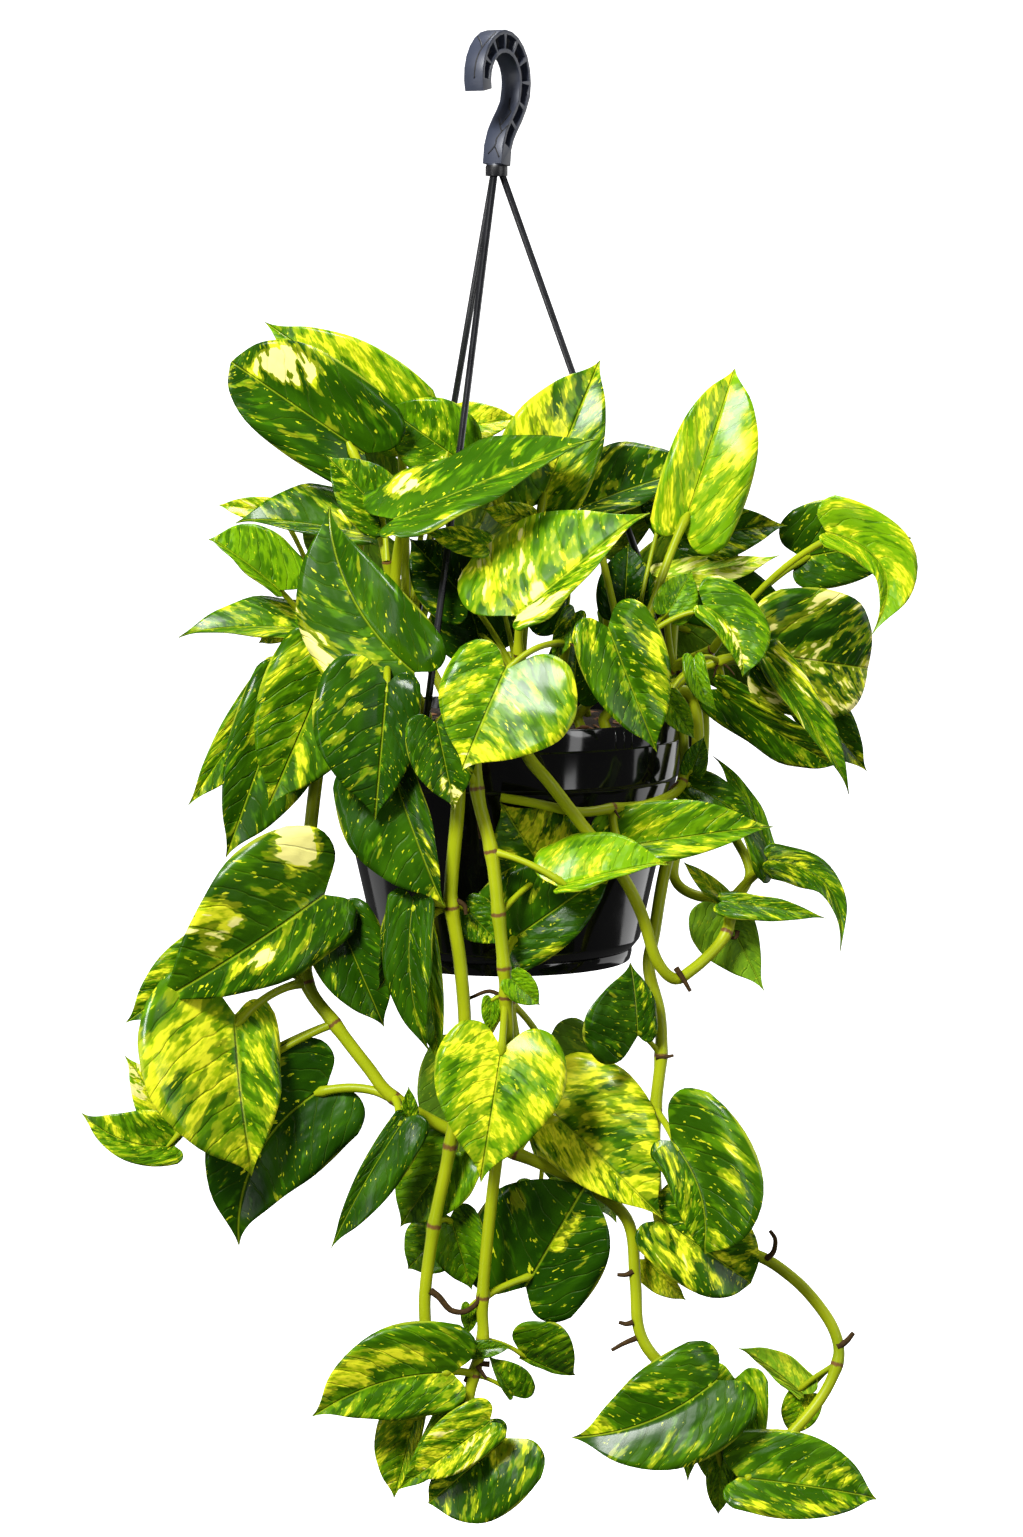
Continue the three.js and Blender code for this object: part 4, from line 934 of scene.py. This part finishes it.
# %% The short shoots of the crown
vine("crown_left", foot=(-38, 44), radius=3, stem=[
    (-50, -335, 52), (-56, -300, 60), (-60, -275, 66),
], leaves=[
    (5, (-61, -251, 56), (-93, -217, 53), (0.33, 0.4), 10, 14),
    (4, (-56, -252, 81), (54, -206, 78), (0.205, 0.1), -60, 10, 0),
    (4, (-72, -216, 40), (-145, -166, 48), (0.28, 0.38), 0, 12, 0.05, 0, 0.9),
    (3, (-24, -217, 28), (-62, -190, 24), (0.42, 0.52)),
    (3, (-48, -199, 0), (-127, -144, -8), 0.25, 0, 14),
    (3, (-34, -206, 10), (14, -197, 6), (0.29, 0.22), -30, 14),
], looks=[
    (0.3, 0.4, 0.3), (0.35, 0.25, 0.2, (-0.5, 0.1, 0.5, 0.1, 0.95), (0.1, 0.62, 0.14, 0.3, 0.6)),
    (0.12, 0.3, 0.2, (0.6, 0.44, 0.42, 0.15, 1.15), (0.3, 0.6, 0.35, 0.12, 0.95),
        (-0.4, 0.85, 0.3, 0.1, 0.7)),
    (0.5, 0.3, 0.2), (0.6, 0.5, 0.2), (0.7, 0.8, 0.3),
])
vine("crown_far_left", foot=(-66, 10), radius=2.8, stem=[
    (-84, -335, 22), (-95, -325, 34),
], leaves=[
    (3, (-69, -261, 34), (-143, -252, 30), (0.07, 0.33), 45, 20, 0.04),
    (3, (-116, -248, 4), (-153, -244, 0), 0.19, 0, 14),
    (4, (-119, -291, 62), (-157, -262, 64), (0.07, 0.5), 40, 25, 0.03, 0, 0.5),
    (4, (-92, -314, 52), (-175, -315, 54), (0.06, 0.22), 45, 20, 0.06),
    (4, (-112, -309, 34), (-131, -320, 32), 0.29),
], looks=[
    (0.22, 0.3, 0.4, (0.2, 0.15, 0.6, 0.15, 0.6)), (0.8, 0.8, 0.4), (0.85, 0.15, 0.0), (0.35, 0.5, 0.3),
    (0.6, 0.8, 0.4),
])
vine("crown_left_front", foot=(-46, 58), radius=3, stem=[
    (-54, -340, 82), (-60, -332, 98),
], leaves=[
    (4, (-45, -336, 108), (-92, -244, 82), (0.36, 0.24), -15, 12, 0.04, -0.1),
    (4, (-60, -342, 123), (-67, -418, 128), (0.26, 0.52)),
    (3, (-89, -326, 91), (-126, -411, 87), (0.35, 0.33)),
], looks=[
    (0.25, 0.18, 0.3, (-0.8, 0.35, 0.22, 0.45, 1.0)), (0.1, 0.24, 0.3, (0.3, 0.95, 0.4, 0.12, 0.5)),
    (0.4, 0.46, 0.2),
])
vine("crown_left_low", foot=(-70, -8), radius=2.8, stem=[
    (-98, -340, 10), (-108, -345, 24),
], leaves=[
    (4, (-114, -340, 56), (-150, -440, 60), (0.31, 0.2), 0, 14, 0.06),
    (3, (-118, -334, 8), (-171, -411, 8), (0.2, 0.12)),
], looks=[
    (0.2, 0.35, 0.25, (-0.1, 0.32, 0.5, 0.16, 0.9)), (0.5, 0.5, 0.1),
])
vine("crown_centre", foot=(10, 46), radius=3, stem=[
    (12, -340, 66), (12, -325, 84),
], leaves=[
    (4, (11, -305, 96), (82, -246, 88), (0.48, 0.1), -45, 12, 0, 0, -0.3),
    (3, (24, -243, 44), (57, -164, 30), (0.39, 0.25), 0, 14, 0.06),
    (3, (-6, -266, 78), (-39, -259, 76), 0.24, 0, 14),
    (3, (18, -252, 56), (-8, -246, 60), 0.29, 0, 14),
    (3, (-9, -318, 30), (-23, -274, 24), 0.5),
    (3, (-16, -296, 58), (-48, -262, 48), 0.42),
    (3, (14, -306, 44), (20, -252, 30), 0.45),
    (3, (42, -348, 38), (46, -302, 30), 0.36),
], looks=[
    (0.5, 0.58, 0.55, (0.3, 0.15, 0.6, 0.35, 0.6)), (0.35, 0.58, 0.2, (-0.4, 0.5, 0.4, 0.4, 0.3)),
    (0.4, 0.5, 0.2), (0.5, 0.7, 0.3), (0.05, 0.1, 0.0), (0.1, 0.2, 0.0), (0.05, 0.15, 0.0), (0.1, 0.1, 0.0),
])
vine("crown_right", foot=(46, 26), radius=3, stem=[
    (72, -335, 50), (80, -318, 60),
], leaves=[
    (4, (102, -257, 36), (130, -169, 22), (0.22, 0.3), 0, 14, 0.05, 0, 0.4),
    (4, (113, -299, 64), (135, -338, 78), (0.45, 0.17), -25, 16, 0.05, -0.15, 0.5),
    (3, (46, -246, 28), (115, -224, 14), (0.38, 0.12), -40, 18, 0.04),
    (3, (94, -238, 12), (87, -264, 22), 0.5, 0, 14),
    (3, (94, -303, 58), (107, -280, 50), (0.4, 0.45), 0, 10, 0.04),
    (3, (70, -302, 30), (72, -264, 24), 0.42),
], looks=[
    (0.8, 0.66, 0.2), (0.6, 0.3, 0.6, (0.1, 0.5, 0.3, 0.4, 0.8)), (0.12, 0.3, 0.1), (0.12, 0.3, 0.1),
    (0.85, 0.1, 0.0), (0.05, 0.1, 0.0),
])
vine("crown_far_right", foot=(76, -2), radius=3.4, stem=[
    (96, -334, 8), (118, -324, 16),
], leaves=[
    (4, (180, -259, 42), (206, -315, 54), (0.36, 0.12), -30, 20, 0.06, -0.34),
    (4, (167, -273, 0), (228, -262, -10), (0.46, 0.3)),
    (3, (102, -263, 8), (159, -255, 14), 0.26, -20, 14),
    (3, (88, -284, 28), (155, -272, 30), (0.15, 0.12), 160, 16),
    (3, (97, -286, 12), (165, -304, 4), 0.29),
], looks=[
    (0.9, 0.5, 0.1), (0.22, 0.3, 0.4, (0.0, 0.8, 0.5, 0.2, 0.4)),
    (0.2, 0.4, 0.2, (0.0, 0.85, 0.6, 0.2, 0.5)), (0.85, 0.9, 0.6), (0.12, 0.15, 0.0),
])
vine("crown_front", foot=(34, 56), radius=3, stem=[
    (36, -335, 76), (38, -320, 88),
], leaves=[
    (4, (61, -311, 100), (88, -380, 106), (0.35, 0.3), 0, 24),
    (4, (5, -334, 137), (-19, -390, 148), (0.74, 0.5), 10, 8, 0.04),
    (4, (43, -303, 88), (30, -331, 92), 0.23, 0, 20),
], looks=[
    (0.35, 0.35, 0.1, (-0.6, 0.35, 0.35, 0.4, 0.6)), (0.5, 0.5, 0.4, (0.0, 0.9, 0.8, 0.15, 0.6)),
    (0.4, 0.4, 0.1),
])
vine("crown_right_low", foot=(84, 32), radius=3.2, stem=[
    (106, -336, 34), (122, -330, 36),
], leaves=[
    (4, (148, -326, 32), (204, -334, -4), (0.57, 0.45), 0, 12, 0.05, 0, 0.8),
    (4, (121, -345, 30), (189, -388, 26), (0.12, 0.19), 35, 14, 0.05, 0, 0.5),
    (4, (147, -326, 48), (196, -403, 56), (0.14, 0.06), -30, 20, 0.04),
    (4, (168, -345, -6), (204, -391, -10), 0.24),
    (4, (108, -328, 60), (122, -358, 66), 0.2, 0, 20, 0.08, 0.1),
    (3, (93, -350, 62), (109, -373, 68), 0.29, 0, 14),
], looks=[
    (0.12, 0.56, 0.75, (0.45, 0.5, 0.4, 0.3, 0.2)), (0.25, 0.42, 0.2),
    (0.4, 0.35, 0.5, (-0.6, 0.15, 0.4, 0.3, 0.6)), (0.2, 0.3, 0.1, (0.0, 0.9, 0.5, 0.15, 0.5)),
    (0.9, 0.15, 0.0), (0.85, 0.2, 0.0),
])

# %% The vines at the back
vine("crown_back_left", foot=(20, 50), radius=3, turn=205, stem=[
    (26, -335, 72), (34, -320, 84),
], leaves=[
    (4, (40, -296, 92), (98, -262, 84), (0.32, 0.26), -20, 16, 0.08),
    (4, (30, -306, 102), (12, -374, 120), 0.36, 0, 14, 0.1),
    (3, (-4, -266, 60), (-36, -202, 46), (0.29, 0.32), 10, 16, 0.06),
    (3, (52, -250, 52), (92, -200, 44), (0.3, 0.27), -10, 16, 0.08),
    (4, (62, -318, 88), (110, -352, 82), 0.32, 0, 16, 0.15),
])
vine("crown_back_right", foot=(-20, 50), radius=3, turn=155, stem=[
    (-24, -335, 72), (-32, -322, 84),
], leaves=[
    (4, (-44, -300, 92), (-106, -268, 80), (0.27, 0.32), 15, 16, 0.08),
    (4, (-26, -318, 104), (-38, -390, 120), 0.37, 0, 14, 0.1),
    (3, (-30, -268, 46), (-70, -228, 32), (0.29, 0.3), 5, 16, 0.06),
    (4, (-66, -322, 86), (-118, -362, 80), 0.33, 0, 14, 0.12),
])
vine("vine_back", foot=(2, 70), radius=3.6, turn=180, stem=[
    (4, -345, 94), (6, -358, 107), (6, -400, 110), (6, -450, 106), (6, -500, 98), (4, -550, 88),
    (-6, -600, 80), (-16, -640, 76),
], leaves=[
    (5, (34, -388, 114), (52, -450, 118), 0.37, 0, 14, 0.06),
    (6, (24, -452, 112), (40, -496, 110), 0.39, 0, 12, 0.06),
    (8, (-18, -578, 92), (-42, -650, 98), 0.42),
    (8, (24, -582, 82), (38, -656, 86), 0.42),
    (9, (-30, -618, 82), (-60, -682, 84), 0.4),
    (10, (-14, -662, 86), (-16, -702, 90), 0.44),
])
vine("vine_back_short", foot=(-24, 62), radius=3.2, turn=180, stem=[
    (-27, -345, 90), (-28, -358, 104), (-28, -400, 106), (-34, -440, 104),
], leaves=[
    (5, (-52, -388, 108), (-84, -442, 104), 0.38, 0, 12, 0.06),
    (6, (-20, -424, 116), (-14, -486, 118), 0.35, 0, 12, 0.06),
    (6, (-44, -456, 108), (-62, -494, 104), 0.39, 0, 12, 0.06),
])

# %% [markdown]
# ## From the table to the blades
# A blade is written as the places of its foot and its tip and the two half widths that are seen.
# Everything else follows: the blade faces the viewer unless it is rolled, each half is folded up
# from the midrib, and the midrib is bowed. A half that is turned away is wider than it looks, so
# its true width is the seen width divided by the cosine of its turn.

# %% Sliding a place along the line of sight
POT_AXIS = Vector((POT_X, 0, 0))


def seen(place):
    """x, z and depth as they are seen, to a point in the object's frame."""
    x, z, depth = place
    nearer = (EYE.y + depth) / EYE.y
    return np.array([EYE.x + (x - EYE.x) * nearer, -depth, EYE.z + (z - EYE.z) * nearer])


def turned_about_pot(point, degrees):
    turn = Matrix.Rotation(math.radians(degrees), 3, "Z")
    return np.array(turn @ (Vector(point) - POT_AXIS) + POT_AXIS)


def unit(vectors):
    return vectors / np.maximum(np.linalg.norm(vectors, axis=-1, keepdims=True), 1e-9)


# %% The frame of a blade
LEAST_FORESHORTENING = 0.4
WAVES = 2.3
WAVE_HEIGHT = 0.016
EDGE_CURL = 0.03
TIP_DROOP = 0.05


class Blade:
    """One leaf's blade: where it is, how it faces and how wide each half is."""

    def __init__(self, leaf, turn, luck):
        rest = LEAF_REST[len(leaf) - 4:]
        foot, tip, halves, roll, fold, self.arch, self.bow, self.blunt = (*leaf[1:], *rest)
        self.halves = halves if isinstance(halves, tuple) else (halves, halves)
        self.roll, self.fold = math.radians(roll), math.radians(fold)
        start, end = seen(foot), seen(tip)
        self.length = float(np.linalg.norm(end - start))
        along = Vector(unit(end - start))
        up = Vector(np.array(EYE) - start)
        up = (up - along * up.dot(along)).normalized()
        up.rotate(Matrix.Rotation(self.roll, 3, along))
        spin = Matrix.Rotation(math.radians(turn), 3, "Z")
        self.base = turned_about_pot(start, turn)
        self.along, self.up, self.right = (np.array(spin @ way) for way in (along, up, along.cross(up)))
        self.wave = luck.uniform(0, 1)
        self.droop = luck.uniform(0.2, 1.0)
        self.seed = luck.uniform(0, 1)

    def half(self, hand):
        """The true half width of one side, as a share of the length."""
        turned_away = self.roll - hand * self.fold
        return self.halves[hand > 0] / max(abs(math.cos(turned_away)), LEAST_FORESHORTENING)

    def surface(self, across, v, raised):
        """Points of the blade. Its halves arch up from the midrib, and its margin is a little wavy."""
        forward = np.maximum(v, 0)
        share = forward + self.blunt * forward * (1 - forward)
        swell, slope = 4 * share * (1 - share), 4 * (1 - 2 * share)
        bowed = self.up * self.arch + self.right * self.bow
        run = unit(self.along + np.outer(slope, bowed))
        side = unit(np.cross(run, self.up))
        face = np.cross(side, run)
        half = np.where(across > 0, self.half(1), self.half(-1)) * self.length
        out = np.abs(across)
        crown = out * (1.6 - 0.6 * out) * half * math.sin(self.fold)
        phase = 2 * np.pi * (WAVES * v + self.wave + 0.3 * np.sign(across))
        ripple = WAVE_HEIGHT * self.length * out ** 2 * np.sin(phase)
        curl = EDGE_CURL * self.length * np.clip((out - 0.8) / 0.2, 0, 1) ** 2
        tip = TIP_DROOP * self.droop * self.length * np.clip((v - 0.82) / 0.18, 0, 1) ** 2
        lift = crown + ripple - curl - tip + raised
        points = self.base + np.outer(share * self.length, self.along)
        points += np.outer(swell * self.length, bowed)
        points += run * (np.minimum(v, 0) * half)[:, None]
        points += side * (across * half * math.cos(self.fold))[:, None]
        return points + face * lift[:, None]


# %% [markdown]
# ## A fine leaf
# The margin of one half is a smooth curve through ten points, from the notch at the stalk round the
# lobe to the drip tip. Rows of the mesh run from the midrib out to the margin in the way that the
# side veins do, so the streaks, the ribs and the mesh all follow the same lines. The blade has a
# top and an underside, LEAF_THICKNESS apart, with a closed rim.

# %% The margin and the grid of rows
MARGIN = [
    (0.03, -0.03), (0.34, -0.32), (0.70, -0.28), (0.96, 0.07), (1.0, 0.28), (0.88, 0.50),
    (0.53, 0.73), (0.19, 0.87), (0.055, 0.945), (0.004, 1.0),
]
ROWS_PER_POINT = 4
COLUMNS = 8
RIB_SLANT = 0.24
RIB_BEND = 1.25
LEAST_ROW = 0.0015
LEAF_THICKNESS = 0.7


def through(points, steps):
    """A smooth curve through points, with so many steps between two."""
    points = np.array(points, float)
    padded = np.vstack([2 * points[0] - points[1], points, 2 * points[-1] - points[-2]])
    line = []
    for i in range(len(points) - 1):
        p0, p1, p2, p3 = padded[i:i + 4]
        m1, m2 = (p2 - p0) / 2, (p3 - p1) / 2
        for step in range(steps):
            t = step / steps
            line.append((2 * t**3 - 3 * t**2 + 1) * p1 + (t**3 - 2 * t**2 + t) * m1
                        + (3 * t**2 - 2 * t**3) * p2 + (t**3 - t**2) * m2)
    line.append(points[-1])
    return np.array(line)


def leaf_grid():
    """Across and along for each point of the grid, row by row from the notch to the tip."""
    margin = through(MARGIN, ROWS_PER_POINT)
    ribs = np.maximum(margin[:, 1] - RIB_SLANT * margin[:, 0], 0)
    ribs = np.minimum(np.maximum.accumulate(ribs + LEAST_ROW * np.arange(len(ribs))), 1)
    shares = np.arange(-COLUMNS, COLUMNS + 1) / COLUMNS
    across = margin[:, :1] * shares[None, :]
    v = ribs[:, None] + (margin[:, 1:] - ribs[:, None]) * np.abs(shares)[None, :] ** RIB_BEND
    return across, v


GRID_ACROSS, GRID_ALONG = leaf_grid()
ROWS, WIDTH = GRID_ACROSS.shape
LEAF_PLACES = np.stack([GRID_ACROSS.ravel(), GRID_ALONG.ravel()], axis=1)
print("leaf grid:", ROWS, "rows of", WIDTH)

# %% The faces of a leaf
def leaf_faces():
    """Faces of the top, the underside and the rim, for a leaf whose points start at 0."""
    count = ROWS * WIDTH
    faces = []
    for row in range(ROWS - 1):
        for column in range(WIDTH - 1):
            a = row * WIDTH + column
            faces.append((a, a + 1, a + 1 + WIDTH, a + WIDTH))
    faces += [tuple(count + i for i in face[::-1]) for face in faces]
    loop = list(range(WIDTH)) + [(r + 1) * WIDTH - 1 for r in range(1, ROWS)]
    loop += [(ROWS - 1) * WIDTH + c for c in range(WIDTH - 2, -1, -1)]
    loop += [r * WIDTH for r in range(ROWS - 2, 0, -1)]
    for first, second in zip(loop, loop[1:] + loop[:1]):
        faces.append((first, count + first, count + second, second))
    return faces


LEAF_FACES = leaf_faces()

# %% [markdown]
# ## Stems and stalks along their paths
# A stem, a leaf stalk and a root are all tubes along a path, so one tree of Geometry Nodes makes
# them. The mesh that goes in holds the finished leaves and, beside them, bare paths of edges. Each
# point of a path carries its thickness. The tree turns the paths into curves and sweeps a circle
# along them, scaled at each point to that thickness.

# %% The tree that sweeps the tubes
def tube_tree():
    """Nodes that keep the leaves, and sweep each path to a tube."""
    tree = Growth("tubes along paths", Sides="Int")

    def above(value, level):
        return tree.add("FunctionNodeCompare", {"data_type": "FLOAT"}, {"A": value, "B": level})

    thickness = tree.attribute("thickness")
    is_path = above(thickness, 0.0)
    is_root = above(tree.attribute("root"), 0.5)
    ring = {"Radius": 1.0, "Resolution": tree.given("Sides")}
    circle = tree.add("GeometryNodeCurvePrimitiveCircle", {}, ring)
    tubes = tree.change("MeshToCurve", tree.given(), Selection=is_path)
    tubes = tree.change("CurveToMesh", tubes, Profile_Curve=circle, Scale=thickness, Fill_Caps=True)
    tubes = tree.change("SetShadeSmooth", tubes)
    tubes = tree.change("SetMaterial", tubes, Material=stem_finish.material)
    tubes = tree.change("SetMaterial", tubes, Material=root_finish.material, Selection=is_root)
    blades = tree.change("DeleteGeometry", tree.given(), Selection=is_path)
    both = tree.change("JoinGeometry", [blades, tubes])
    return tree.ends_in(tree.change("RealizeInstances", both))


TUBES = tube_tree()
TUBE_SIDES = 12

# %% Paths of stems, stalks and roots
FOOT_HEIGHTS = (-18, -2, 9)
STEM_STEPS = 8
STEM_TAPER = 0.18
NODE_SWELL = 0.16
SWELL_REACH = 4.5
SCAR_REACH = 2.6
STALK_POINTS = 13
STALK_BEND = 0.55
STALK_RISE = 0.16
STALK_GIRTH = 0.8
GIRTH_PER_LENGTH = 0.021
UNDER_BLADE = 0.07


def stem_path(vine):
    """The stem's points: three of its foot, upright in the soil, then those of the table."""
    x, front = vine["foot"]
    foot = [np.array([x, -front, SOIL_TOP + height]) for height in FOOT_HEIGHTS]
    return [turned_about_pot(p, vine.get("turn", 0)) for p in foot + [seen(p) for p in vine["stem"]]]


def stem_tube(vine, path):
    """A stem, which tapers and swells a little at each node. Its knots are the scars there."""
    line = through(path, STEM_STEPS)
    nodes = np.array([path[leaf[0]] for leaf in vine["leaves"]])
    nearest = np.min(np.linalg.norm(line[:, None] - nodes[None], axis=2), axis=1)
    swell = NODE_SWELL * np.exp(-(nearest / SWELL_REACH) ** 2)
    thickness = vine["radius"] * (1.0 - STEM_TAPER * np.linspace(0, 1, len(line)) + swell)
    return dict(line=line, thickness=thickness, knot=np.exp(-(nearest / SCAR_REACH) ** 2))


def stalk_tube(start, blade):
    """A leaf stalk: a little sheath at the stem, then a slender tube, and a knee at the blade."""
    end = blade.surface(np.zeros(1), np.full(1, UNDER_BLADE), 0.0)[0]
    rise = STALK_RISE * float(np.linalg.norm(blade.base - start))
    bend = start + (blade.base - start) * STALK_BEND + np.array([0, 0, rise])
    t = np.linspace(0, 1, STALK_POINTS)
    sheath, knee = 0.34 * np.exp(-(t / 0.16) ** 2), 0.2 * np.exp(-((t - 0.9) / 0.07) ** 2)
    thickness = (STALK_GIRTH + GIRTH_PER_LENGTH * blade.length) * (0.86 + sheath + knee)
    thickness[-1] *= 0.55
    t = t[:, None]
    return dict(line=(1 - t) ** 2 * start + 2 * t * (1 - t) * bend + t * t * end, thickness=thickness)


def root_tube(start, radius, luck):
    """A short aerial root that leaves a node and bends down."""
    away = unit(np.array([luck.uniform(-1, 1), luck.uniform(-1.2, 0.4), luck.uniform(-0.7, 0.2)]))
    length, thick = luck.uniform(5, 10), luck.uniform(0.7, 1.1)
    pull = np.array([luck.uniform(-0.3, 0.3), luck.uniform(-0.3, 0.3), 0]) - np.array([0, 0, 0.6])
    t = np.linspace(0, 1, 6)
    line = start + away * radius * 0.6 + np.outer(t * length, away) + np.outer(t ** 2 * length * 0.5, pull)
    return dict(line=line, thickness=thick * (1 - 0.55 * t), root=1.0)


def root_by_hand(thick, way):
    line = through([seen(place) for place in way], 4)
    return dict(line=line, thickness=thick * (1 - 0.4 * np.linspace(0, 1, len(line))), root=1.0)


# %% [markdown]
# ## A whole vine
# One vine is one piece: its leaves, then the paths of its stem, stalks and roots, swept into tubes.
# Each point carries the numbers that the finishes read, and each corner of a leaf its place on the
# leaf's map, where the lobes behind the stalk are squeezed. Luck comes from a seed of the vine's own,
# so each run makes the same plant.

# %% Gather the points of a vine
NUMBERS = ("thickness", "root", "knot", "tone", "yellow", "cream", "seed", "splash", "under")
LOBE_SQUEEZE = 0.4


def leaf_splash(marks):
    """How strongly the listed patches cover each point of a blade: each is a soft oval."""
    across, v = LEAF_PLACES.T
    total = np.zeros(len(v))
    for at_across, at_v, half_across, half_v, strength in marks:
        near = ((across - at_across) / half_across) ** 2 + ((v - at_v) / half_v) ** 2
        total += strength * np.exp(-near ** 2)
    return total


class Plant:
    """The leaves and paths of one vine, and the numbers that their points carry."""

    def __init__(self):
        self.points, self.places, self.faces, self.edges = [], [], [], []
        self.numbers = {name: [] for name in NUMBERS}

    def gather(self, points, places, **values):
        """Adds points, their places on the leaf and their numbers. Gives the first one's index."""
        first = sum(len(p) for p in self.points)
        self.points.append(points)
        self.places.append(places)
        for name in NUMBERS:
            value = np.asarray(values.get(name, 0.0), float)
            self.numbers[name].append(np.broadcast_to(value, (len(points),)))
        return first

    def leaf(self, blade, look):
        tone, yellow, cream, *marks = look
        looks = dict(tone=tone, yellow=yellow, cream=cream, seed=blade.seed, splash=leaf_splash(marks))
        firsts = []
        for under in (0, 1):
            side = blade.surface(*LEAF_PLACES.T, (0.5 - under) * LEAF_THICKNESS)
            firsts.append(self.gather(side, LEAF_PLACES, under=under, **looks))
        self.faces += [tuple(firsts[0] + i for i in face) for face in LEAF_FACES]

    def tube(self, line, thickness, **values):
        first = self.gather(line, np.zeros((len(line), 2)), thickness=thickness * MM, **values)
        self.edges += [(first + i, first + i + 1) for i in range(len(line) - 1)]

    def piece(self, name):
        points = np.vstack(self.points)
        piece = piece_from(name, points, self.faces, leaf_finish, edges=self.edges)
        mesh = piece.data
        for number, values in self.numbers.items():
            mesh.attributes.new(number, "FLOAT", "POINT").data.foreach_set("value", np.concatenate(values))
        corners = np.zeros(len(mesh.loops), dtype=np.int32)
        mesh.loops.foreach_get("vertex_index", corners)
        across, v = np.vstack(self.places)[corners].T
        v = np.where(v < 0, v * LOBE_SQUEEZE, v)
        spots = np.stack([across / MAP_WIDTH + 0.5, (v + MAP_START) / MAP_LENGTH], axis=1)
        mesh.uv_layers.new(name="leaf").uv.foreach_set("vector", spots.ravel().astype(np.float32))
        return grown(piece, TUBES, Sides=TUBE_SIDES)


# %% Grow the vines
ROOT_CHANCE = 0.6


def grow(name, vine):
    luck = random.Random(name)
    plant = Plant()
    path = stem_path(vine)
    tubes = [stem_tube(vine, path)]
    looks, roots = vine.get("looks"), vine.get("roots")
    for index, leaf in enumerate(vine["leaves"]):
        blade = Blade(leaf, vine.get("turn", 0), luck)
        plain = (luck.uniform(0.1, 0.5), luck.uniform(0.2, 0.6), 0.3)
        plant.leaf(blade, looks[index] if looks else plain)
        start = path[leaf[0]]
        tubes.append(stalk_tube(start, blade))
        if roots is None and luck.random() < ROOT_CHANCE:
            tubes.append(root_tube(start, vine["radius"], luck))
    tubes += [root_by_hand(*root) for root in roots or []]
    for tube in tubes:
        plant.tube(**tube)
    piece = plant.piece(name + "_plant")
    stands_for(piece, name)
    return len(piece.data.polygons)


faces = sum(grow(name, vine) for name, vine in VINES.items())
print("vines:", len(VINES), "with", faces, "faces")

# %% [markdown]
# ## Small moulded details
# The hook's broad faces carry shallow grooves that branch like veins. Each groove is given as it is
# seen, as x and z, and a ray from the eye lays it on the moulding. There it is drawn as a thin
# near-black rod: painted shade that stands for the shade inside the groove. The pot's rim band has
# three fine upright ribs, and its ledge has one small knob.

# %% Grooves, ribs and the knob
GROOVES = [
    [(-0.3, 11.0), (-3.6, 7.7), (-6.8, 3.9), (-9.0, 0.6), (-10.9, -4.3), (-11.7, -9.2), (-12.0, -13.6)],
    [(-10.1, 8.8), (-8.5, 5.5), (-7.9, 2.8)],
    [(7.3, -24.1), (6.9, -29.5), (7.7, -31.8), (4.6, -35.9), (2.3, -38.6)],
    [(1.4, -35.0), (1.9, -38.6), (2.8, -42.2)],
    [(6.4, -38.6), (2.8, -42.2)],
    [(2.8, -42.2), (0.1, -45.9), (-0.8, -49.5), (-4.5, -54.1)],
    [(-0.8, -50.4), (1.4, -55.9)],
]
GROOVE_RADIUS = 0.45
GROOVE_DEPTH = 0.0001
BAND_RIBS = (-54.5, -51.2, -48.0)
BAND_RIB_DROPS = (1.5, 6, BAND_DROP - 1)
BAND_RIB_RADIUS = 0.45
KNOB_TURN = -37.5
KNOB_REACH = (-1, 0.2, 0.9)
KNOB_RADIUS = 1.0
ROD_SIDES = 8

# painted shade: the near-black finish of the groove rods stands for the shade inside the grooves
groove_shade_finish = Finish("groove_shade", Base_Color=colour(0.002, 0.0022, 0.003), Roughness=0.6)


def thin_rod(line, radius, first):
    """Points and faces of a plain rod along a line."""
    way = unit(np.gradient(line, axis=0))
    aside = unit(np.cross(way, np.array([0.31, 0.88, 0.36])))
    above = np.cross(way, aside)
    turns = np.linspace(0, 2 * math.pi, ROD_SIDES, endpoint=False)
    rings = [line + radius * (math.cos(a) * aside + math.sin(a) * above) for a in turns]
    last = first + (len(line) - 1) * ROD_SIDES
    faces = [tuple(range(first, first + ROD_SIDES))[::-1]]
    faces += ring_faces(first, len(line), ROD_SIDES)
    faces.append(tuple(range(last, last + ROD_SIDES)))
    return np.stack(rings, axis=1).reshape(-1, 3), faces


def rods(name, lines, radius, finish):
    points, faces = [], []
    for line in lines:
        rod_points, rod_faces = thin_rod(np.array(line, float), radius, sum(len(p) for p in points))
        points.append(rod_points)
        faces += rod_faces
    return piece_from(name, np.vstack(points), faces, finish)


def laid_on(target, x, z):
    """Where the eye's ray through x and z meets a piece, a little under its surface."""
    ray = (Vector((x, 0, z)) - EYE).normalized()
    hit, place, normal, _ = target.ray_cast(EYE * MM, ray)
    return np.array((place - normal * GROOVE_DEPTH) / MM) if hit else None


def on_pot(turn, radius, z):
    turn = math.radians(turn)
    return (POT_X + radius * math.cos(turn), radius * math.sin(turn), z)


lines = []
for groove in GROOVES:
    laid = [laid_on(hook, x, z) for x, z, _ in through([(x, z, 0) for x, z in groove], 4)]
    laid = [place for place in laid if place is not None]
    if len(laid) > 2:
        lines.append(laid)
print("grooves:", len(lines), "of", len(GROOVES))
# painted shade: the groove rods, in their near-black finish
grooves = rods("hook_grooves", lines, GROOVE_RADIUS, groove_shade_finish)
stands_for(grooves, "hanger_hook")

ribs = [[on_pot(turn, RIM_RADIUS, RIM_TOP - drop) for drop in BAND_RIB_DROPS] for turn in BAND_RIBS]
stands_for(rods("band_ribs", ribs, BAND_RIB_RADIUS, pot_finish), "pot")
knob = [on_pot(KNOB_TURN, UPPER_RADIUS + reach, RIM_TOP - LEDGE_DROP + 1) for reach in KNOB_REACH]
stands_for(rods("ledge_knob", [knob], KNOB_RADIUS, pot_finish), "pot")
